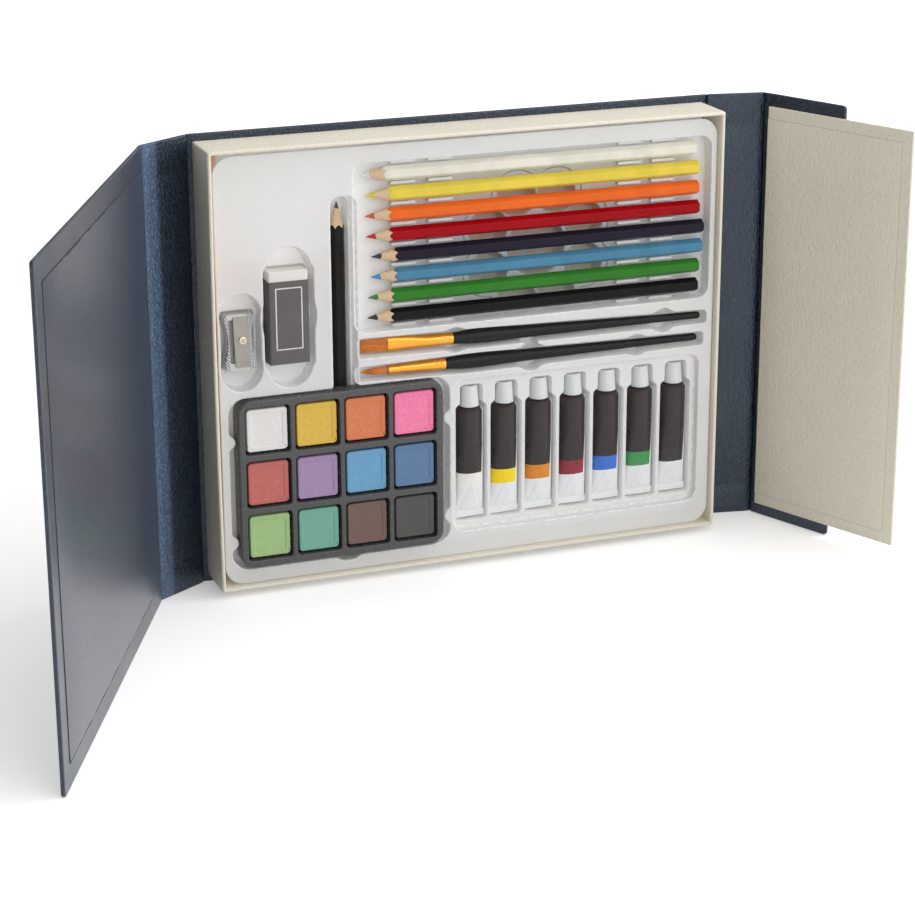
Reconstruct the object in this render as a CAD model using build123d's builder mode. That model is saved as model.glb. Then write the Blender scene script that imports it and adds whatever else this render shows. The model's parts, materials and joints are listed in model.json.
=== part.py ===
# A watercolour art set: a covered board case that stands open like a folding screen,
# with a formed insert that holds pencils, brushes, pans and tubes of paint.
# Millimetres. X runs to the right, Y to the back and Z up. The origin is the middle of
# the back panel's bottom edge, on the panel's mid-plane.

from build123d import *
import math
import os

os.makedirs("parts", exist_ok=True)

# The covered boards, and the rolled cloth hinges along their edges
case_height = 225.0
board = 2.0
back_span = 268.3
cover_span = 214.0
closed_edge_gap = 2.0
hinge_clear = 0.1
board_corner_r = 2.0

# How far each board is folded forward of its parent, in degrees
left_spine_turn = 32.2
cover_turn = 33.0
right_spine_turn = 11.0
flap_turn = 56.0

# The sheet inside the cover, the cream tongue on the flap, and the hidden magnets
lining = 0.25
lining_inset = 10.5
lining_hinge_inset = 6.0
tongue_board = 1.5
tongue_start = 5.0
tongue_width = 90.0
tongue_height = 212.6
tongue_clear = 0.3
cover_clear = 0.2
magnet_r = 5.0
magnet_t = 0.9
magnet_spread = 112.0
magnet_edge = 15.0

# The wrapped board tray and the pad that lies in it
tray_width = 264.5
tray_height = 217.8
tray_depth = 27.2
tray_wall = 2.0
tray_floor = 1.6
rim_round = 0.5
pad_thick = 5.5
pad_gap = 1.5
seat_clear = 0.2

# The formed insert
insert_gap = 0.75
insert_top_gap = 1.2
insert_corner_r = 9.5
sheet = 0.7
draft = 3.0
item_clear = 0.3

# Pencils lie side by side in one bed. The offsets say how far each slid from its place
pencil_length = 176.0
pencil_flats = 6.5
cone_length = 13.8
lead_r = 1.5
lead_tip_r = 0.25
pencil_depth = 0.5
pencil_pitch = 10.04
first_pencil_v = 91.2
pencil_tip_u = -55.2
pencil_slides = {
    "white": -2.4,
    "yellow": 0.0,
    "orange": 0.0,
    "red": 0.5,
    "violet": 3.0,
    "blue": 2.6,
    "green": 1.0,
    "black": 0.6,
}
bed_end_room = 4.5
bed_side_room = 2.6
bed_corner_r = 6.0
rib_thick = 1.5
rib_rise = 3.0
rib_length = 13.0
rib_row_u = [-34.6, -15.6, 84.0, 102.0]

# The graphite pencil stands in a deeper groove that runs on under the pan tray
graphite_u = -66.4
graphite_tip_v = 79.1
graphite_lead_r = 1.1
groove_side_room = 1.4
groove_end_room = 2.6
groove_corner_r = 4.0

# The flower palette under the pencils
palette_u = 35.6
palette_v = 47.9
petal_count = 8
petal_ring_r = 27.5
petal_r = 13.0
petal_well_r = 10.2
hub_well_r = 15.3
palette_height = 8.2
palette_wall = 1.2
palette_draft = 12.0

# Brushes
brush_length = 182.0
handle_r = 3.6
handle_end_r = 1.9
handle_middle_r = 2.7
belly_from_ferrule = 10.0
handle_middle = 65.0
ferrule_r = 3.0
ferrule_bore_r = 2.6
tenon_length = 8.0
tenon_clear = 0.05
crimps_back = [2.5, 5.0]
crimp_wide = 0.8
crimp_deep = 0.2
flat_tip_u = -57.7
flat_tip_v = 6.9
flat_fall = 2.5
flat_hair = 14.0
flat_ferrule = 33.5
flat_width = 7.4
flat_thick = 2.8
ferrule_flat = 10.0
flat_middle_width = 6.8
flat_middle_thick = 3.5
ferrule_round = 12.7
bead = 0.12
round_tip_u = -59.2
round_tip_v = -6.2
round_fall = 0.7
round_hair = 15.5
round_ferrule = 29.5
round_mouth_r = 2.2
mouth_wall = 0.3
hair_slice = 1.5
hair_fill = 0.42
hair_tip_half = 0.03
chisel_width = 6.6
chisel_thick = 0.7
belly_from_tip = 8.5
point_spread = 4.6
point_r = 0.42
flat_rows = 8
flat_columns = 26
round_rings = 6
brush_depth = 0.6
brush_side_room = 1.0
brush_end_room = 2.0
flat_fingers = [(48.0, 6.3), (160.0, 6.3)]
round_fingers = [(89.6, 7.4), (147.0, 5.6)]

# Eraser in its card sleeve
eraser_u = -94.0
eraser_v = 26.1
eraser_width = 20.1
eraser_length = 45.7
eraser_thick = 10.5
sleeve_length = 40.7
sleeve_card = 0.3
sleeve_clear = 0.05
eraser_corner_r = 1.0
eraser_edge = 0.4
small_item_depth = 0.3

# Metal wedge sharpener
sharpener_u = -118.1
sharpener_v = 16.0
sharpener_length = 26.5
sharpener_top = 14.2
sharpener_waist = 11.4
sharpener_base = 15.0
sharpener_shoulder = 3.6
sharpener_foot = 4.2
sharpener_chamfer = 1.0
sharpener_thick = 10.5
sharpener_fall = 3.3
cone_mouth_r = 4.0
cone_end_r = 0.6
cone_reach = 24.0
cone_axis_depth = 5.2
blade_width = 7.0
blade_length = 24.2
blade_t = 0.7
blade_u = 0.5
blade_bevel = 0.5
slot_width = 2.9
slot_length = 21.0
slot_rise = 0.5
slot_corner_r = 1.2
screw_head_r = 1.9
screw_head_t = 0.8
screw_shank_r = 1.2
screw_depth = 3.0
screw_head_taper = 15.0
screw_slot = 0.5
screw_recess_r = 1.15
screw_slot_turn = 25.0
screw_u = 1.0
screw_v = 0.9

# Finger recesses beside the small things and the brushes
finger_depth = 8.0
eraser_finger_r = 11.0
eraser_side_r = 12.6
eraser_finger_reach = 23.8
sharpener_finger_r = 10.2
sharpener_finger_reach = 14.0

# Pan tray with twelve cakes
pan_u = -69.3
pan_v = -55.3
pan_width = 104.8
pan_height = 85.3
pan_thick = 8.4
pan_proud = 2.0
pan_corner_r = 7.0
pan_edge_r = 1.0
pan_rib = 2.4
pan_rib_cross = 3.2
pan_floor = 1.6
pan_foot = 0.8
pan_foot_wall = 2.0
cake_pitch_u = 25.0
cake_pitch_v = 27.1
cake_width = 21.0
cake_height = 22.0
cake_thick = 4.6
cake_corner_r = 1.8
cake_border = 2.3
cake_dish = 0.3
cake_draft = 4.0
dish_slope = 45.0
pan_side_room = 0.6
lobe = 3.0
lobe_nubs_v = [-29.5, 22.0]
cake_rows = [
    ["white", "yellow", "orange", "pink"],
    ["red", "violet", "sky", "blue"],
    ["light_green", "teal", "brown", "charcoal"],
]

# Paint tubes
tube_names = ["white", "yellow", "ochre", "red", "blue", "green", "black"]
first_tube_u = 0.0
tube_pitch = 18.6
tube_foot_v = -89.2
tube_r = 6.75
tube_body = 53.7
crimp_width = 15.0
crimp_height = 3.5
crimp_t = 1.6
tube_flat_rise = 17.0
tube_flat_width = 14.2
tube_flat_thick = 8.4
tube_round_rise = 38.0
fold_step = 0.2
shoulder_rise = 1.5
shoulder_slope = 52.0
neck_r = 2.9
neck_length = 5.0
cap_length = 10.8
cap_base_r = 4.85
cap_top_r = 4.05
cap_edge_r = 0.5
cap_clear = 0.1
tube_depth = 0.6
tube_recess_depth = 4.0
tube_recess_room_u = 4.0
tube_recess_room_v = 4.8
tube_recess_r = 6.0
tube_groove_corner_r = 1.2

# A round drawn as an ellipse needs its two sizes a hair apart
nearly = 0.998

# Sizes that follow from those above
right_spine_span = tray_depth + tongue_clear + tongue_board + board
left_spine_span = right_spine_span + lining + cover_clear
flap_span = back_span - cover_span - closed_edge_gap
tray_low = (case_height - tray_height) / 2
insert_width = tray_width - 2 * tray_wall - 2 * insert_gap
insert_height = tray_height - 2 * tray_wall - seat_clear - insert_top_gap
insert_mid_z = tray_low + tray_wall + seat_clear + insert_height / 2
pad_back_y = -(board / 2 + tray_floor)
draft_slope = math.tan(math.radians(draft))
pencil_corners = pencil_flats / math.cos(math.radians(30))
pencil_axis_depth = pencil_depth + pencil_flats / 2
bed_depth = pencil_depth + pencil_flats + seat_clear
pencil_count = len(pencil_slides)
palette_rim_depth = bed_depth + item_clear
palette_r = petal_ring_r + petal_r
palette_bed_depth = palette_rim_depth + palette_height + seat_clear
pan_well_depth = pan_thick - pan_proud + seat_clear
graphite_depth = pan_well_depth + item_clear
graphite_axis_depth = graphite_depth + pencil_flats / 2
groove_depth = graphite_depth + pencil_flats + seat_clear
brush_axis_depth = brush_depth + handle_r
brush_well_depth = brush_axis_depth + handle_r + seat_clear
small_well_depth = small_item_depth + sharpener_thick + seat_clear
tube_axis_depth = tube_depth + tube_r
tube_groove_depth = tube_axis_depth + tube_r + item_clear
insert_depth = max(palette_bed_depth, tube_groove_depth) + sheet
face_y = -(board / 2 + tray_floor + pad_thick + item_clear + insert_depth)
tube_shoulder_v = tube_foot_v + crimp_height + tube_body
tube_length = crimp_height + tube_body + shoulder_rise + cap_length


def finish(piece, name):
    """Labels a piece and writes it as the node of that name."""
    piece.label = name
    export_step(piece, f"parts/{name}.step")


def face_plane(u, v, depth):
    """A plane parallel to the insert's face: u right and v up of its middle, depth below it."""
    return Plane(
        origin=(u, face_y + depth, insert_mid_z + v), x_dir=(1, 0, 0), z_dir=(0, -1, 0)
    )


def side_plane(u, v, depth):
    """The plane square to the insert's face through the same place: local x is depth, y is up."""
    return Plane(
        origin=(u, face_y + depth, insert_mid_z + v), x_dir=(0, 1, 0), z_dir=(1, 0, 0)
    )


def board_plane(x, y, turn, side):
    """The plane at a hinge line's foot, with x along the board. side is -1 at the left, 1 at the right."""
    angle = math.radians(turn)
    return Plane(
        origin=(x, y, 0), x_dir=(side * math.cos(angle), -math.sin(angle), 0), z_dir=(0, 0, 1)
    )


def next_hinge(plane, span):
    """Where a board's far hinge line stands."""
    return plane.origin + plane.x_dir * span


def hinged_board(plane, span, carries_hinge, pockets=()):
    """A covered board that starts just clear of its hinge line. A board that carries another ends in a roll.
    pockets are the planes of discs let into it."""
    start = board / 2 + hinge_clear
    with BuildPart() as panel:
        with BuildSketch(plane):
            with Locations(((start + span) / 2, 0)):
                Rectangle(span - start, board)
            if carries_hinge:
                with Locations((span, 0)):
                    Circle(board / 2)
        extrude(amount=case_height)
        if not carries_hinge:
            across = panel.edges().filter_by(Axis((0, 0, 0), plane.y_dir))
            far = across.sort_by(Axis(plane.origin, plane.x_dir))[-2:]
            fillet(far, radius=board_corner_r)
        for disc_plane in pockets:
            with BuildSketch(disc_plane):
                Circle(magnet_r)
            extrude(amount=magnet_t, mode=Mode.SUBTRACT)
    return panel


def magnet_places(plane, along, inward):
    """The planes of the two magnets' discs, along the board from its hinge, at a depth from its middle."""
    facing = plane.y_dir
    return [
        Plane(
            origin=plane.origin + plane.x_dir * along + facing * inward + Vector(0, 0, z),
            x_dir=plane.x_dir,
            z_dir=facing,
        )
        for z in (case_height / 2 - magnet_spread / 2, case_height / 2 + magnet_spread / 2)
    ]


# Back panel: one board with a roll along each side for the spines to turn on
with BuildPart() as back_panel:
    with BuildSketch(Plane.XY):
        SlotCenterToCenter(back_span, board)
    extrude(amount=case_height)
finish(back_panel.part, "back_panel")

# Boards at the left
left_spine_plane = board_plane(-back_span / 2, 0, left_spine_turn, -1)
cover_hinge = next_hinge(left_spine_plane, left_spine_span)
cover_plane = board_plane(cover_hinge.X, cover_hinge.Y, left_spine_turn + cover_turn, -1)
left_spine = hinged_board(left_spine_plane, left_spine_span, True)
finish(left_spine.part, "left_spine")

cover_magnet_along = back_span - (tongue_start + tongue_width - magnet_edge)
cover_magnet_planes = magnet_places(cover_plane, cover_magnet_along, -magnet_t / 2)
front_cover = hinged_board(cover_plane, cover_span, False, cover_magnet_planes)
finish(front_cover.part, "front_cover")

with BuildPart() as cover_magnets:
    for disc_plane in cover_magnet_planes:
        with BuildSketch(disc_plane):
            Circle(magnet_r)
        extrude(amount=magnet_t)
finish(cover_magnets.part, "cover_magnets")

with BuildPart() as cover_lining:
    lining_width = cover_span - lining_inset - lining_hinge_inset
    lining_plane = Plane(
        origin=cover_plane.origin
        + cover_plane.x_dir * (lining_hinge_inset + lining_width / 2)
        + cover_plane.y_dir * (board / 2)
        + Vector(0, 0, case_height / 2),
        x_dir=cover_plane.x_dir,
        z_dir=cover_plane.y_dir,
    )
    with BuildSketch(lining_plane):
        Rectangle(lining_width, case_height - 2 * lining_inset)
    extrude(amount=lining)
finish(cover_lining.part, "cover_lining")

# Boards at the right, and the tongue that tucks under the cover
right_spine_plane = board_plane(back_span / 2, 0, right_spine_turn, 1)
flap_hinge = next_hinge(right_spine_plane, right_spine_span)
flap_plane = board_plane(flap_hinge.X, flap_hinge.Y, right_spine_turn + flap_turn, 1)
right_spine = hinged_board(right_spine_plane, right_spine_span, True)
finish(right_spine.part, "right_spine")

right_flap = hinged_board(flap_plane, flap_span, False)
finish(right_flap.part, "right_flap")

tongue_magnet_inward = -(board / 2 + tongue_board / 2 + magnet_t / 2)
tongue_magnet_along = tongue_start + tongue_width - magnet_edge
tongue_magnet_planes = magnet_places(flap_plane, tongue_magnet_along, tongue_magnet_inward)
with BuildPart() as closure_tongue:
    tongue_plane = Plane(
        origin=flap_plane.origin
        + flap_plane.x_dir * (tongue_start + tongue_width / 2)
        - flap_plane.y_dir * (board / 2)
        + Vector(0, 0, case_height / 2),
        x_dir=flap_plane.x_dir,
        z_dir=-flap_plane.y_dir,
    )
    with BuildSketch(tongue_plane):
        Rectangle(tongue_width, tongue_height)
    extrude(amount=tongue_board)
    for disc_plane in tongue_magnet_planes:
        with BuildSketch(disc_plane):
            Circle(magnet_r)
        extrude(amount=magnet_t, mode=Mode.SUBTRACT)
finish(closure_tongue.part, "closure_tongue")

with BuildPart() as tongue_magnets:
    for disc_plane in tongue_magnet_planes:
        with BuildSketch(disc_plane):
            Circle(magnet_r)
        extrude(amount=magnet_t)
finish(tongue_magnets.part, "tongue_magnets")

# Tray: five boards wrapped as one, glued to the back panel, with a softly rounded rim
tray_back = Plane(origin=(0, -board / 2, case_height / 2), x_dir=(1, 0, 0), z_dir=(0, -1, 0))
with BuildPart() as tray:
    with BuildSketch(tray_back):
        Rectangle(tray_width, tray_height)
    extrude(amount=tray_depth)
    fillet(tray.edges().filter_by(Axis.Y), radius=rim_round)
    with BuildSketch(tray_back.offset(tray_floor)):
        Rectangle(tray_width - 2 * tray_wall, tray_height - 2 * tray_wall)
    extrude(amount=tray_depth, mode=Mode.SUBTRACT)
    fillet(tray.faces().sort_by(Axis.Y)[0].edges(), radius=rim_round)
finish(tray.part, "tray")

# Paper pad lying on the tray's floor
with BuildPart() as paper_pad:
    with BuildSketch(Plane(origin=(0, pad_back_y, case_height / 2), x_dir=(1, 0, 0), z_dir=(0, -1, 0))):
        Rectangle(tray_width - 2 * (tray_wall + pad_gap), tray_height - 2 * (tray_wall + pad_gap))
    extrude(amount=pad_thick)
finish(paper_pad.part, "paper_pad")


# Outlines of the insert's wells at its face. grow widens an outline all round, for the sheet's outer side
def widened(size, depth):
    """An item's width with its clearance, widened so that the drafted wall still clears it at a depth."""
    return size + 2 * (item_clear + depth * draft_slope)


def bed_span():
    """The left and right ends of the pencil bed."""
    left = pencil_tip_u + min(pencil_slides.values()) - bed_end_room + item_clear
    right = pencil_tip_u + pencil_length + max(pencil_slides.values()) + item_clear + bed_side_room
    return left, right


def bed_outline(grow):
    left, right = bed_span()
    top = first_pencil_v + pencil_corners / 2 + bed_side_room
    low = first_pencil_v - (pencil_count - 1) * pencil_pitch - pencil_corners / 2 - bed_side_room
    with Locations(((left + right) / 2, (top + low) / 2)):
        RectangleRounded(right - left + 2 * grow, top - low + 2 * grow, bed_corner_r + grow)


def flower_outline(grow):
    with Locations((palette_u, palette_v)):
        Circle(petal_ring_r + grow)
        with PolarLocations(petal_ring_r, petal_count, start_angle=180 / petal_count):
            Circle(petal_r + grow)


def palette_bed_outline(grow):
    flower_outline(item_clear + (palette_bed_depth - bed_depth) * draft_slope + grow)


def groove_outline(grow):
    top = graphite_tip_v + groove_end_room
    low = graphite_tip_v - pencil_length - groove_end_room
    width = widened(pencil_corners, groove_depth) + groove_side_room
    with Locations((graphite_u, (top + low) / 2)):
        RectangleRounded(width + 2 * grow, top - low + 2 * grow, groove_corner_r + grow)


def pan_outline(grow):
    wide = pan_width + 2 * (pan_side_room + lobe)
    with Locations((pan_u, pan_v)):
        RectangleRounded(
            wide + 2 * grow, pan_height + 2 * (pan_side_room + grow), pan_corner_r + grow
        )
        for nub_v in lobe_nubs_v:
            with Locations((-wide / 2 - grow, nub_v), (wide / 2 + grow, nub_v)):
                Circle(lobe, mode=Mode.SUBTRACT)


def eraser_outline(grow):
    width = widened(eraser_width, small_well_depth)
    length = widened(eraser_length, small_well_depth)
    with Locations((eraser_u, eraser_v)):
        RectangleRounded(width + 2 * grow, length + 2 * grow, eraser_corner_r + grow)


def eraser_finger_outline(grow):
    eraser_outline(grow)
    with Locations((eraser_u, eraser_v)):
        Circle(eraser_side_r + grow)
        with Locations((0, eraser_finger_reach), (0, -eraser_finger_reach)):
            Circle(eraser_finger_r + grow)


def sharpener_outline(grow):
    width = widened(sharpener_base, small_well_depth)
    length = widened(sharpener_length, small_well_depth)
    with Locations((sharpener_u, sharpener_v)):
        RectangleRounded(width + 2 * grow, length + 2 * grow, eraser_corner_r + grow)


def sharpener_finger_outline(grow):
    sharpener_outline(grow)
    with Locations((sharpener_u, sharpener_v)):
        with Locations((0, sharpener_finger_reach), (0, -sharpener_finger_reach)):
            Circle(sharpener_finger_r + grow)


def brush_outline(tip_u, tip_v, fall, tip_half, grow):
    """A long well that follows a brush: as wide as its hair at the left, its belly, then its handle's end."""
    left = tip_u - brush_end_room - grow
    right = tip_u + brush_length + brush_end_room + grow
    belly = tip_u + brush_length / 3
    belly_half = widened(2 * handle_r, brush_axis_depth) / 2 + brush_side_room / 2 + grow
    end_half = widened(2 * handle_end_r, brush_axis_depth) / 2 + brush_side_room + grow
    left_half = tip_half + brush_side_room + grow
    belly_v = tip_v - fall / 3
    end_v = tip_v - fall
    with BuildLine() as edge:
        Polyline(
            (left, tip_v + left_half),
            (belly, belly_v + belly_half),
            (right, end_v + end_half),
            (right, end_v - end_half),
            (belly, belly_v - belly_half),
            (left, tip_v - left_half),
            close=True,
        )
    make_face(edge.edges())


def flat_brush_outline(grow):
    brush_outline(flat_tip_u, flat_tip_v, flat_fall, flat_width / 2, grow)


def round_brush_outline(grow):
    brush_outline(round_tip_u, round_tip_v, round_fall, round_mouth_r, grow)


def brush_finger_outline(grow):
    for along, radius in flat_fingers:
        with Locations((flat_tip_u + along, flat_tip_v - flat_fall * along / brush_length)):
            Circle(radius + grow)
    for along, radius in round_fingers:
        with Locations((round_tip_u + along, round_tip_v - round_fall * along / brush_length)):
            Circle(radius + grow)


def tube_recess_outline(grow):
    width = (len(tube_names) - 1) * tube_pitch + 2 * (tube_r + tube_recess_room_u)
    length = tube_length + 2 * tube_recess_room_v
    mid_u = first_tube_u + (len(tube_names) - 1) * tube_pitch / 2
    with Locations((mid_u, tube_foot_v + tube_length / 2)):
        RectangleRounded(width + 2 * grow, length + 2 * grow, tube_recess_r + grow)


def tube_grooves_outline(grow):
    body_width = widened(max(2 * tube_r, crimp_width), tube_axis_depth)
    cap_width = widened(2 * cap_base_r, tube_axis_depth)
    top_v = tube_foot_v + tube_length + item_clear + tube_axis_depth * draft_slope
    low_v = tube_foot_v - item_clear - tube_axis_depth * draft_slope
    body_top = tube_shoulder_v + shoulder_rise + item_clear + tube_axis_depth * draft_slope
    for i in range(len(tube_names)):
        u = first_tube_u + i * tube_pitch
        with Locations((u, (low_v + body_top) / 2)):
            RectangleRounded(
                body_width + 2 * grow, body_top - low_v + 2 * grow, tube_groove_corner_r + grow
            )
        with Locations((u, (low_v + top_v) / 2)):
            RectangleRounded(
                cap_width + 2 * grow, top_v - low_v + 2 * grow, tube_groove_corner_r + grow
            )


# The insert is one thin sheet: every well is the same outline twice, a wall thickness apart
wells = [
    (bed_outline, 0.0, bed_depth),
    (palette_bed_outline, bed_depth, palette_bed_depth),
    (pan_outline, 0.0, pan_well_depth),
    (groove_outline, 0.0, groove_depth),
    (eraser_outline, 0.0, small_well_depth),
    (eraser_finger_outline, 0.0, finger_depth),
    (sharpener_outline, 0.0, small_well_depth),
    (sharpener_finger_outline, 0.0, finger_depth),
    (flat_brush_outline, 0.0, brush_well_depth),
    (round_brush_outline, 0.0, brush_well_depth),
    (brush_finger_outline, 0.0, brush_well_depth),
    (tube_recess_outline, 0.0, tube_recess_depth),
    (tube_grooves_outline, 0.0, tube_groove_depth),
]
with BuildPart() as insert:
    with BuildSketch(face_plane(0, 0, 0)):
        RectangleRounded(insert_width, insert_height, insert_corner_r)
    extrude(amount=-sheet)
    for outline, start, depth in wells:
        with BuildSketch(face_plane(0, 0, start)):
            outline(sheet)
        extrude(amount=-(depth + sheet - start), taper=draft)
    for outline, start, depth in wells:
        with BuildSketch(face_plane(0, 0, start)):
            outline(0)
        extrude(amount=-(depth - start), taper=draft, mode=Mode.SUBTRACT)
    # low ribs on the bed's floor keep the pencils apart
    with BuildSketch(face_plane(0, 0, bed_depth)):
        for rib_u in rib_row_u:
            for i in range(pencil_count + 1):
                with Locations((rib_u, first_pencil_v + (0.5 - i) * pencil_pitch)):
                    Rectangle(rib_length, rib_thick)
    extrude(amount=rib_rise)
finish(insert.part, "insert")

def palette_cups():
    """The middle of each round well of the palette, with its radius at the rim."""
    cups = [(palette_u, palette_v, hub_well_r)]
    for petal in range(petal_count):
        angle = 2 * math.pi * (petal + 0.5) / petal_count
        u = palette_u + petal_ring_r * math.cos(angle)
        v = palette_v + petal_ring_r * math.sin(angle)
        cups.append((u, v, petal_well_r))
    return cups


# Flower palette: a flat rim, eight round wells and one in the middle
with BuildPart() as mixing_palette:
    with BuildSketch(face_plane(0, 0, palette_rim_depth)):
        flower_outline(0)
    extrude(amount=-palette_wall)
    for u, v, cup_r in palette_cups():
        with BuildSketch(face_plane(u, v, palette_rim_depth)):
            Circle(cup_r + palette_wall)
        extrude(amount=-palette_height, taper=palette_draft)
    for u, v, cup_r in palette_cups():
        with BuildSketch(face_plane(u, v, palette_rim_depth)):
            Circle(cup_r)
        extrude(amount=palette_wall - palette_height, taper=palette_draft, mode=Mode.SUBTRACT)
    fillet(mixing_palette.faces().sort_by(Axis.Y)[0].outer_wire().edges(), radius=palette_wall / 3)
finish(mixing_palette.part, "mixing_palette")


def make_pencil(tip, name, core_r):
    """A sharpened hexagonal pencil from a plane at its tip, whose z runs to its end, and its lead."""
    slope = (pencil_corners / 2) / cone_length
    past = 1.2 * cone_length
    lengthwise = Plane(origin=tip.origin, x_dir=tip.z_dir, z_dir=tip.x_dir)
    bare = core_r / slope
    with BuildPart() as casing:
        with BuildSketch(tip):
            RegularPolygon(pencil_flats / 2, 6, major_radius=False, rotation=30)
            Circle(core_r, mode=Mode.SUBTRACT)
        extrude(amount=pencil_length)
        with BuildSketch(lengthwise):
            with BuildLine():
                Polyline((0, 0), (past, past * slope), (0, past * slope), close=True)
            make_face()
        revolve(axis=Axis(tip.origin, tip.z_dir), mode=Mode.SUBTRACT)
    with BuildPart() as lead:
        with BuildSketch(lengthwise):
            with BuildLine():
                Polyline(
                    (lead_tip_r / slope, 0),
                    (lead_tip_r / slope, lead_tip_r),
                    (bare, core_r),
                    (pencil_length, core_r),
                    (pencil_length, 0),
                    close=True,
                )
            make_face()
        revolve(axis=Axis(tip.origin, tip.z_dir))
    finish(Compound(children=[casing.part, lead.part]), name)


for row, (colour, slide) in enumerate(pencil_slides.items()):
    tip_place = face_plane(
        pencil_tip_u + slide, first_pencil_v - row * pencil_pitch, pencil_axis_depth
    )
    tip_plane = Plane(origin=tip_place.origin, x_dir=(0, -1, 0), z_dir=(1, 0, 0))
    make_pencil(tip_plane, f"pencil_{colour}", lead_r)

graphite_place = face_plane(graphite_u, graphite_tip_v, graphite_axis_depth)
graphite_plane = Plane(origin=graphite_place.origin, x_dir=(0, -1, 0), z_dir=(0, 0, -1))
make_pencil(graphite_plane, "graphite_pencil", graphite_lead_r)


# Brushes. Each lies along its own slightly falling axis, measured from the hair's tip
def brush_plane(tip_u, tip_v, fall):
    """The plane at a brush's tip: z runs to the handle's end, x faces out of the insert."""
    place = face_plane(tip_u, tip_v, brush_axis_depth)
    angle = math.asin(fall / brush_length)
    return Plane(
        origin=place.origin, x_dir=(0, -1, 0), z_dir=(math.cos(angle), 0, -math.sin(angle))
    )


def make_handle(tip, start, name):
    """A lacquered handle: a tenon in the ferrule, a belly just behind it, then a long taper."""
    lengthwise = Plane(origin=tip.origin, x_dir=tip.z_dir, z_dir=tip.x_dir)
    with BuildPart() as handle:
        with BuildSketch(lengthwise):
            with BuildLine():
                tenon = Polyline(
                    (start - tenon_length, 0),
                    (start - tenon_length, ferrule_bore_r),
                    (start, ferrule_bore_r),
                    (start, ferrule_r),
                )
                swell = Spline(
                    tenon @ 1, (start + belly_from_ferrule, handle_r), tangents=((1, 0.2), (1, 0))
                )
                taper = Spline(
                    swell @ 1,
                    (start + handle_middle, handle_middle_r),
                    (brush_length - handle_end_r, handle_end_r),
                    tangents=((1, 0), (1, 0)),
                )
                end = JernArc(taper @ 1, (1, 0), handle_end_r, -90)
                Line(end @ 1, tenon @ 0)
            make_face()
        revolve(axis=Axis(tip.origin, tip.z_dir))
    finish(handle.part, name)


def crimp_rings(tip, start, length):
    """Two rolled grooves where the ferrule grips the handle."""
    lengthwise = Plane(origin=tip.origin, x_dir=tip.z_dir, z_dir=tip.x_dir)
    with BuildSketch(lengthwise) as grooves:
        for back in crimps_back:
            with Locations((start + length - back, ferrule_r)):
                Rectangle(crimp_wide, 2 * crimp_deep)
    revolve(grooves.sketch, axis=Axis(tip.origin, tip.z_dir), mode=Mode.SUBTRACT)


def bore_ferrule(tip, start, length):
    """The ferrule's open back end, where the handle's tenon goes in."""
    with BuildSketch(tip.offset(start + length)) as bore:
        Circle(ferrule_bore_r + tenon_clear)
    extrude(bore.sketch, amount=-(tenon_length + tenon_clear), mode=Mode.SUBTRACT)


def flat_section(wide, thick):
    """A flattened tube's section. Its width runs up the insert, square to its face."""
    Ellipse(thick / 2, wide / 2)


flat_plane = brush_plane(flat_tip_u, flat_tip_v, flat_fall)
with BuildPart() as flat_brush_ferrule:
    round_from = flat_hair + flat_ferrule - ferrule_round
    with BuildSketch(flat_plane.offset(flat_hair)):
        flat_section(flat_width, flat_thick)
    with BuildSketch(flat_plane.offset(flat_hair + ferrule_flat)):
        flat_section(flat_middle_width, flat_middle_thick)
    with BuildSketch(flat_plane.offset(round_from)):
        flat_section(2 * (ferrule_r - bead), 2 * nearly * (ferrule_r - bead))
    loft()
    with BuildSketch(flat_plane.offset(round_from)):
        Circle(ferrule_r)
    extrude(amount=ferrule_round)
    crimp_rings(flat_plane, flat_hair, flat_ferrule)
    bore_ferrule(flat_plane, flat_hair, flat_ferrule)
    with BuildSketch(flat_plane.offset(flat_hair)):
        flat_section(flat_width - 2 * mouth_wall, flat_thick - 2 * mouth_wall)
    extrude(amount=hair_slice, mode=Mode.SUBTRACT)
finish(flat_brush_ferrule.part, "flat_brush_ferrule")
make_handle(flat_plane, flat_hair + flat_ferrule, "flat_brush_handle")

round_plane = brush_plane(round_tip_u, round_tip_v, round_fall)
with BuildPart() as round_brush_ferrule:
    with BuildSketch(round_plane.offset(round_hair)):
        Circle(round_mouth_r)
    with BuildSketch(round_plane.offset(round_hair + round_ferrule)):
        Circle(ferrule_r)
    loft()
    crimp_rings(round_plane, round_hair, round_ferrule)
    bore_ferrule(round_plane, round_hair, round_ferrule)
    with BuildSketch(round_plane.offset(round_hair)):
        Circle(round_mouth_r - mouth_wall)
    extrude(amount=hair_slice, mode=Mode.SUBTRACT)
finish(round_brush_ferrule.part, "round_brush_ferrule")
make_handle(round_plane, round_hair + round_ferrule, "round_brush_handle")


def hair(plane, stations):
    """One three-sided hair through places given as (x, y, distance from the tip, half width)."""
    sections = []
    for x, y, along, half in stations:
        corners = [
            (x + half * math.cos(a), y + half * math.sin(a))
            for a in (math.pi / 2, math.pi * 7 / 6, math.pi * 11 / 6)
        ]
        place = plane.offset(along)
        sections.append(Face(Wire.make_polygon([place.from_local_coords((*c, 0)) for c in corners])))
    return Solid.make_loft([s.outer_wire() for s in sections], ruled=True)


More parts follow.
